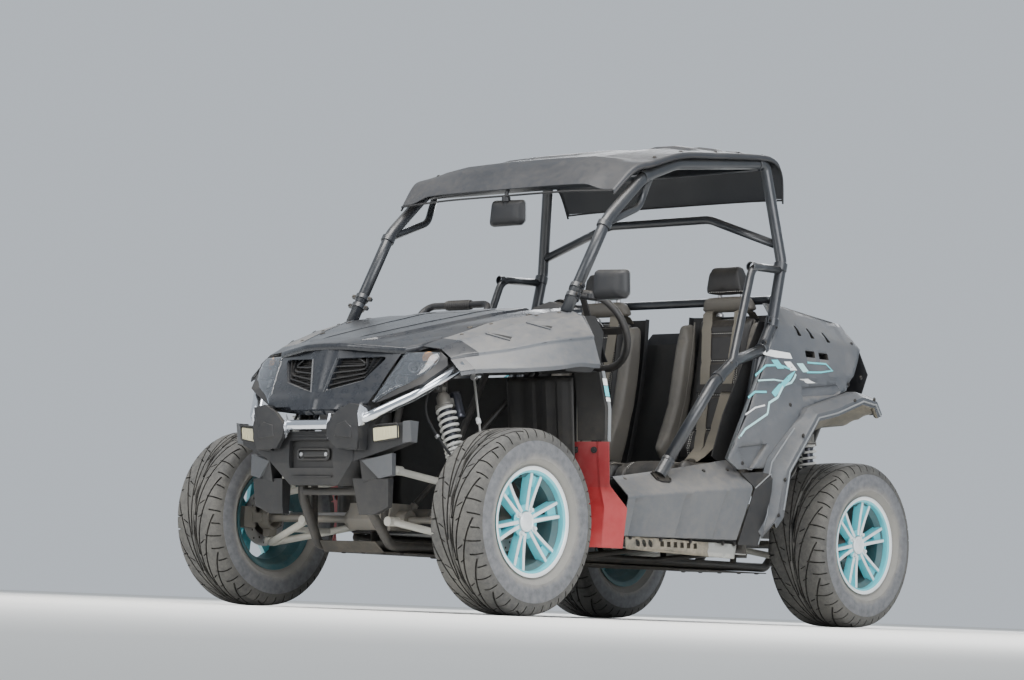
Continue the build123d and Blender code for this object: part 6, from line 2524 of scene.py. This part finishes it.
trim = Build()
for y in (-84, 84):
    for dy in (-4.5, 4.5):
        stitches(trim, [on_back(y + dy, z, 0.7) for z in range(650, 1226, 12)], 0)
        stitches(trim, [on_top(x, y + dy, 0.7) for x in range(-440, -104, 12)], 0)
for z in (760, 900, 1040, 1150):
    stitches(trim, [on_back(y, z + 4.5, 0.7) for y in range(-76, 77, 8)], 0)
for x in (-200, -320):
    stitches(trim, [on_top(x + 4.5, y, 0.7) for y in range(-76, 77, 8)], 0)
stitches(trim, [on_back(y, 1322, 0.7) for y in range(-84, 85, 8)], 0)
# piping where the wings meet the middle
for s_ in (1, -1):
    line_ = [Vector((x, s_ * 150, z)) for x, z in
             ((-92, 600), (-140, 606), (-300, 590), (-420, 590), (-470, 640),
              (-500, 730), (-552, 900), (-586, 1100), (-596, 1204))]
    trim.tube(smooth_line(line_, 14), 3.2, 8, 1)

# belts: two over the shoulders and one each side of the lap, to one buckle
belt = Build()


def strap(b, line_, width, thick=1.8, across=Vector((0, 1, 0)), mat=0):
    """Flat webbing along (point, outward normal) pairs."""
    rings = []
    n = len(line_)
    for i, (p, nn) in enumerate(line_):
        t = (line_[min(i + 1, n - 1)][0] - line_[max(i - 1, 0)][0]).normalized()
        side_ = t.cross(nn).normalized()
        w = width / 2
        rings.append([p - side_ * w, p - side_ * w * 0.5 + nn * 0.5,
                      p + nn * 0.8, p + side_ * w * 0.5 + nn * 0.5, p + side_ * w,
                      p + side_ * w + nn * thick,
                      p + side_ * w * 0.5 + nn * (thick + 0.5),
                      p + nn * (thick + 0.8),
                      p - side_ * w * 0.5 + nn * (thick + 0.5),
                      p - side_ * w + nn * thick])
    b.loft(rings, mat)


buckle = Vector((-392, 0, 618))
for s_ in (1, -1):
    rows_ = []
    for k in range(26):
        t = k / 25
        z = lerp(1236, 690, t)
        y = s_ * lerp(78, 26, t ** 1.4)
        p, n = on_back(y, z, 2.6)
        q, m_ = on_back(y - s_ * 20, z, 2.6)
        o, _ = on_back(y + s_ * 20, z, 2.6)
        p.x = max(p.x, q.x, o.x)
        rows_.append((p, Vector((0.97, 0, 0.1)).normalized()))
    over = [(Vector((-672, s_ * 96, 1216)), Vector((-0.3, 0, 1)).normalized()),
            (Vector((-654, s_ * 90, 1240)), Vector((-0.1, 0, 1)).normalized()),
            (Vector((-618, s_ * 84, 1250)), Vector((0.4, 0, 0.9)).normalized())]
    end = [(Vector((-438, s_ * 20, 650)), Vector((0.9, 0, 0.6)).normalized()),
           (buckle + Vector((-14, s_ * 12, 12)), Vector((0.6, 0, 0.8)).normalized())]
    strap(belt, over + rows_ + end, 46)
    lap = []
    for k in range(12):
        t = k / 11
        y = s_ * lerp(30, 146, t)
        p, n = on_top(lerp(-392, -446, t), y, 3.0)
        p.z = max(p.z, 596 - 4 * t)
        lap.append((p, Vector((0.25, 0, 1)).normalized()))
    lap.append((Vector((-470, s_ * 149, 566)), Vector((0, -s_ * 0.7, 0.6))
                .normalized()))
    strap(belt, lap, 46)
    # adjuster on each shoulder belt
    p, n = on_back(s_ * 62, 930, 5)
    u, w = frame_of((1, 0, 0))
    belt.prism([(-28, -16), (28, -16), (28, 16), (-28, 16)], p, Vector((0, 1, 0)),
               Vector((-0.2, 0, 1)), Vector((1, 0, 0.2)), 5, 1)
belt.lathe([(-3, 24), (0, 30), (10, 30), (13, 26), (13.6, 8), (12, 7)], buckle,
           (0.45, 0, 0.9), 28, 1, cap0=True, cap1=True)

# moulded shell behind and under the pads
shell = Build()
RIM = [(-112, 434), (-300, 432), (-478, 434), (-520, 470), (-562, 590), (-634, 900),
       (-660, 1100), (-668, 1230)]
rings = []
for p in smooth_line([Vector((x, 0, z)) for x, z in RIM], 26):
    ring = []
    for y, dx in ((-206, 34), (-204, 12), (-180, 2), (-90, -3), (0, -5), (90, -3),
                  (180, 2), (204, 12), (206, 34)):
        up_ = min(1.0, max(0.0, (p.z - 470) / 130))
        ring.append(p + Vector((dx * up_, y, dx * (1 - up_))))
    rings.append(ring)
shell.loft(rings, 0, closed=False)
for s_ in (1, -1):
    shell.tube([(-640, s_ * 56, 1236), (-636, s_ * 56, 1322)], 6, 10, 1)
    shell.lathe([(0, 13), (9, 12), (10, 7)], (-641, s_ * 56, 1228), (0, 0, 1), 14, 1)
# runners under the seat
for s_ in (1, -1):
    shell.block(-480, -130, s_ * 140 - 12, s_ * 140 + 12, 420, 433, 2)

for seat_name, dy in (("driver", SEAT), ("passenger", -SEAT)):
    node = seat_name + "_seat"
    first = True
    for key, obj in pads.items():
        copy = obj if dy < 0 else bpy.data.objects.new(obj.name + "_d",
                                                      obj.data.copy())
        if dy > 0:
            bpy.context.scene.collection.objects.link(copy)
        copy.name = "%s_seat_%s" % (seat_name, key)
        co = coords(copy.data)
        co[:, 1] += dy * MM
        put_back(copy.data, co)
        if first:
            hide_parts(node)
            first = False
        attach(copy, BODY)
    for part_, mats_, tag in ((trim, ["thread", "seat_grey"], "stitching"),
                              (belt, ["webbing", "bolt"], "belts"),
                              (shell, ["cabin", "steel", "frame"], "shell")):
        q = Build()
        q.v = [(x, y + dy, z) for x, y, z in part_.v]
        q.f, q.m = list(part_.f), list(part_.m)
        piece = q.make("%s_seat_%s" % (seat_name, tag), mats_, slot="seat_cover",
                       smooth=40)
        if tag == "shell":
            thicken(piece, 3.5, 1.0, rim=1)

# ------------------------------------------------------------------ rear body
dress("cargo_bed", "black", 2)
dress("tail_panel", "black", 2)
dress("rear_firewall", "cabin", 1)
dress("rear_bumper", "frame", 1)
b = Build()
# ribs of the bed floor and its walls, and tie-down rails
for k in range(9):
    y = -400 + 100 * k
    b.loft([[Vector((x, y - 16, 884)), Vector((x, y - 11, 890)),
             Vector((x, y + 11, 890)), Vector((x, y + 16, 884))]
            for x in (-1108, -1104, -752, -748)], 0)
for k in range(6):
    x = -1080 + 62 * k
    for s_ in (1, -1):
        b.loft([[Vector((x - 9, s_ * 478.5, z)), Vector((x - 6, s_ * 473, z)),
                 Vector((x + 6, s_ * 473, z)), Vector((x + 9, s_ * 478.5, z))]
                for z in (892, 896, 1080, 1084)], 0)
for s_ in (1, -1):
    b.tube(rounded([(-1090, s_ * 500, 1106), (-1090, s_ * 500, 1130),
                    (-780, s_ * 500, 1130), (-780, s_ * 500, 1106)], 16, 4), 8, 12, 1)
    for x in (-1040, -935, -830):
        b.bolt((x, s_ * 525, 1106), (0, 0, 1), 6, 4, 2, 10)
b.tube([(-1128, -478, 1106), (-1128, 478, 1106)], 5, 10, 0)
b.tube([(-728, -478, 1106), (-728, 478, 1106)], 5, 10, 0)
b.make("bed_ribs", ["black", "tube", "bolt"], slot="black_plastic", smooth=40,
       bevel=1.0, segments=1)

# tail: framed panel, vents, lamps with stepped lenses
b = Build()
line_ = [(-490, 1220), (-578, 1128), (-624, 1028), (-594, 936), (-300, 912),
         (300, 912), (594, 936), (624, 1028), (578, 1128), (490, 1220)]
b.tube(rounded([Vector((-1161, y, z)) for y, z in line_], 20, 3), 5, 8, 0)
for k in range(7):
    z = 960 + 24 * k
    b.loft([[Vector((-1160, -240, z)), Vector((-1167, -236, z + 4)),
             Vector((-1167, 236, z + 4)), Vector((-1160, 240, z))],
            [Vector((-1160, -240, z + 14)), Vector((-1164, -236, z + 12)),
             Vector((-1164, 236, z + 12)), Vector((-1160, 240, z + 14))]], 0)
for y in (-300, 0, 300):
    b.bolt((-1160, y, 1168), (-1, 0, 0), 7, 4, 1, 12)
b.make("tail_trim", ["black", "bolt"], slot="black_plastic", smooth=34, bevel=0.8,
       segments=1)
b = Build()
for y in (430, -430):
    b.lathe([(-22, 50), (-24, 57), (-18, 59), (-4, 59), (0, 57)], (-1158, y, 1050),
            (1, 0, 0), 40, 1)
    b.lathe([(36, 54), (0, 54), (-14, 54), (-17, 50), (-18, 36), (-15.5, 34),
             (-15.5, 30), (-18, 28), (-18.6, 12), (-17, 4)], (-1158, y, 1050),
            (1, 0, 0), 40, 0, cap1=True)
    for k in range(24):
        t = 2 * math.pi * k / 24
        b.lathe([(0, 3.2), (-1.8, 2.4), (-2.2, 0.8)],
                (-1175.6, y + 43 * math.cos(t), 1050 + 43 * math.sin(t)), (1, 0, 0),
                8, 0)
b.make("tail_lamp_shells", ["red_lens", "black"], slot="red_lens",
       replaces=("tail_lamps",), smooth=36)

# ------------------------------------------------------------------ drive train
dress("engine_block", "cast", 8)
dress("drive_units", "cast", 3)
b = Build()
# covers, cooling fins, intake duct and belts housing on the block
for s_ in (1, -1):
    b.lathe([(0, 118), (14, 118), (22, 108), (26, 60), (34, 52), (36, 20)],
            (-800, s_ * 160, 450), (0, s_, 0), 40, 0, cap1=True)
    for k in range(8):
        t = 2 * math.pi * k / 8
        b.bolt((-800 + 104 * math.cos(t), s_ * 181, 450 + 104 * math.sin(t)),
               (0, s_, 0), 5, 4, 1)
for k in range(8):
    z = 600 + 20 * k
    b.block(-905, -672, -172, 172, z, z + 6, 0)
b.tube(smooth_line([(-720, 60, 800), (-716, 80, 860), (-690, 160, 900),
                    (-664, 260, 900)], 18), 34, 20, 2)
for t_ in range(6):
    b.lathe([(-4, 35), (-2, 38), (2, 38), (4, 35)],
            Vector((-716, 82, 862)).lerp(Vector((-664, 258, 900)), t_ / 5),
            (0.15, 0.9, 0.2), 20, 2)
b.make("engine_details", ["cast", "bolt", "black"], slot="cast", smooth=36,
       bevel=1.0, segments=1)

b = Build()
ring_ = [(-192, 40), (-192, 66), (-186, 76), (-176, 79), (-60, 79), (-58, 77),
         (-56, 79), (56, 79), (58, 77), (60, 79), (176, 79), (186, 76), (192, 66),
         (192, 40)]
b.lathe(ring_, (-1300, 0, 700), (0, 1, 0), 44, 0, cap0=True, cap1=True)
for y in (-120, 120):
    b.lathe([(-9, 80), (-9, 82.5), (9, 82.5), (9, 80)], (-1300, y, 700), (0, 1, 0),
            44, 1)
b.lathe([(0, 22), (100, 22)], (-1245, -120, 676), (0.92, 0, -0.39), 20, 0)
b.lathe([(0, 20), (52, 20), (60, 22), (62, 19), (52, 15), (10, 15)],
        (-1360, 120, 690), (-1, 0, -0.11), 24, 1)
shield = []
for y in (-160, -155, 155, 160):
    shield.append([Vector((-1300 - (86) * math.cos(t), y, 700 + 86 * math.sin(t)))
                   for t in [math.radians(a) for a in range(-30, 121, 10)]])
b.loft(shield, 1, closed=False)
piece = b.make("muffler_shell", ["cast", "steel"], slot="cast",
               replaces=("muffler",), smooth=36)

# a hose along the floor on each side
b = Build()
for s_ in (1, -1):
    b.tube(smooth_line([(-620, s_ * 190, 420), (-500, s_ * 210, 392),
                        (-260, s_ * 214, 384), (40, s_ * 214, 384),
                        (300, s_ * 212, 390)], 40), 9, 10, 0)
b.make("floor_hoses", ["black"], slot="black_plastic")

# ------------------------------------------------------------------ belly
b = Build()
# pressed ribs and bolts under the skid plate
for y in (-150, -50, 50, 150):
    b.loft([[Vector((x, y - 12, z)), Vector((x, y - 8, z - 5)),
             Vector((x, y + 8, z - 5)), Vector((x, y + 12, z))]
            for x, z in ((-560, 0.2), (-554, 0), (560, 0), (566, 0.2))], 0)
low = min(v.co.z for v in NODES["skid_plate"].data.vertices) / MM
flat = [v.co for v in NODES["skid_plate"].data.vertices
        if v.co.z / MM < low + 3]
x0 = min(c.x for c in flat) / MM + 40
x1 = max(c.x for c in flat) / MM - 40
b.v = [(min(max(x, x0), x1), y, z + low) for x, y, z in b.v]
for x in (x0 + 10, (x0 + x1) / 2, x1 - 10):
    for y in (-190, -100, 0, 100, 190):
        b.lathe([(-1, 10), (1.5, 10), (4, 7), (4.4, 1)], (x, y, low), (0, 0, -1), 14,
                1, cap1=True)
b.make("skid_ribs", ["under", "bolt"], slot="underside", smooth=40)


# ------------------------------------------------------------------ kept nodes
for node, mat, width in (
        ("chassis_frame", "frame", 0), ("skid_plate", "under", 2),
        ("floor_pan", "cabin", 2), ("bumper_bar", "chrome", 0),
        ("bumper_cover", "black", 4), ("bumper_lamps", "cream", 2),
        ("nose_panel", "hood", 1.5), ("grille_insets", "mesh", 1),
        ("headlamps", "black", 3), ("hood", "hood", 1.5),
        ("front_fender_left", "panel", 1.5),
        ("front_fender_right", "panel", 1.5),
        ("wheel_well_liners", "liner", 1),
        ("mud_guards", "red", 1), ("rocker_panels", "panel", 1.5),
        
        
        ("roof", "roof", 1.5),
        
        
        ("driver_seat", "cabin", 6), ("passenger_seat", "cabin", 6),
        ("rear_panel_left", "panel", 1.5), ("rear_panel_right", "panel", 1.5),
        ("cabin_rear_trims", "cabin", 1), ("rear_fenders", "panel", 1.5),
        
        ("tail_lamps", "red_lens", 3),
        
        ("muffler", "cast", 2),
        ("front_arms", "arm", 1),
        ("rear_arms", "arm", 1), ("front_knuckle_left", "cast", 1.5),
        ("front_knuckle_right", "cast", 1.5), ("steering_rack", "steel", 0.8),
        ("side_mirror", "black", 4), ("centre_mirror", "black", 4)):
    if not NODES[node].hide_render:
        dress(node, mat, width)


# ------------------------------------------------------------------ stage
def plain(name, colour, rough):
    g = Graph(name)
    g.set(Base_Color=g.mix(g.ramp(g.noise(0.8, 3), 0.3, 0.7),
                           tuple(c * 0.97 for c in colour[:3]) + (1.0,), colour),
          Roughness=rough)
    return g.mat


floor = Build()
floor.block(-30000, 30000, -30000, 30000, -40, 0)
floor.make("studio_floor", [plain("pale_floor", srgb(232, 231, 227),
                                           0.9)], None)

world = bpy.data.worlds.new("studio")
bpy.context.scene.world = world
world.use_nodes = True
world.node_tree.nodes["Background"].inputs[0].default_value = (0.80, 0.87, 0.95, 1)
world.node_tree.nodes["Background"].inputs[1].default_value = 0.72


def area(name, place, target, size, power, colour=(1, 1, 1)):
    data = bpy.data.lights.new(name, "AREA")
    data.shape = "RECTANGLE"
    data.size, data.size_y = size
    data.energy = power
    data.color = colour
    obj = bpy.data.objects.new(name, data)
    bpy.context.scene.collection.objects.link(obj)
    obj.location = place
    obj.rotation_euler = (Vector(target) - Vector(place)).to_track_quat(
        "-Z", "Y").to_euler()
    return obj


area("key", (2.5, 1.0, 6.5), (0, 0, 0.6), (5, 4), 760, (1.0, 0.98, 0.95))
area("side", (3.0, 7.0, 3.0), (0.2, 0, 0.8), (5, 3), 400, (0.97, 0.98, 1.0))
area("front", (7.5, -1.5, 2.6), (0.8, 0, 0.7), (3, 3), 170, (1.0, 0.99, 0.97))
area("back", (-6.5, -3.5, 4.0), (0, 0, 0.9), (4, 3), 320, (0.95, 0.97, 1.0))

cam_data = bpy.data.cameras.new("camera")
cam = bpy.data.objects.new("camera", cam_data)
bpy.context.scene.collection.objects.link(cam)
bpy.context.scene.camera = cam
cam_data.sensor_width = 36.0
cam_data.lens = 106.7
EYE = (9.080, 7.647, 0.03)
az, el, roll = (math.radians(a) for a in (-138.86, 5.03, 2.2))
fwd = Vector((math.cos(el) * math.cos(az), math.cos(el) * math.sin(az),
              math.sin(el)))
right = fwd.cross(Vector((0, 0, 1))).normalized()
upv = right.cross(fwd)
r2 = right * math.cos(roll) + upv * math.sin(roll)
u2 = -right * math.sin(roll) + upv * math.cos(roll)
cam.matrix_world = Matrix(((r2.x, u2.x, -fwd.x, EYE[0]),
                           (r2.y, u2.y, -fwd.y, EYE[1]),
                           (r2.z, u2.z, -fwd.z, EYE[2]),
                           (0, 0, 0, 1)))
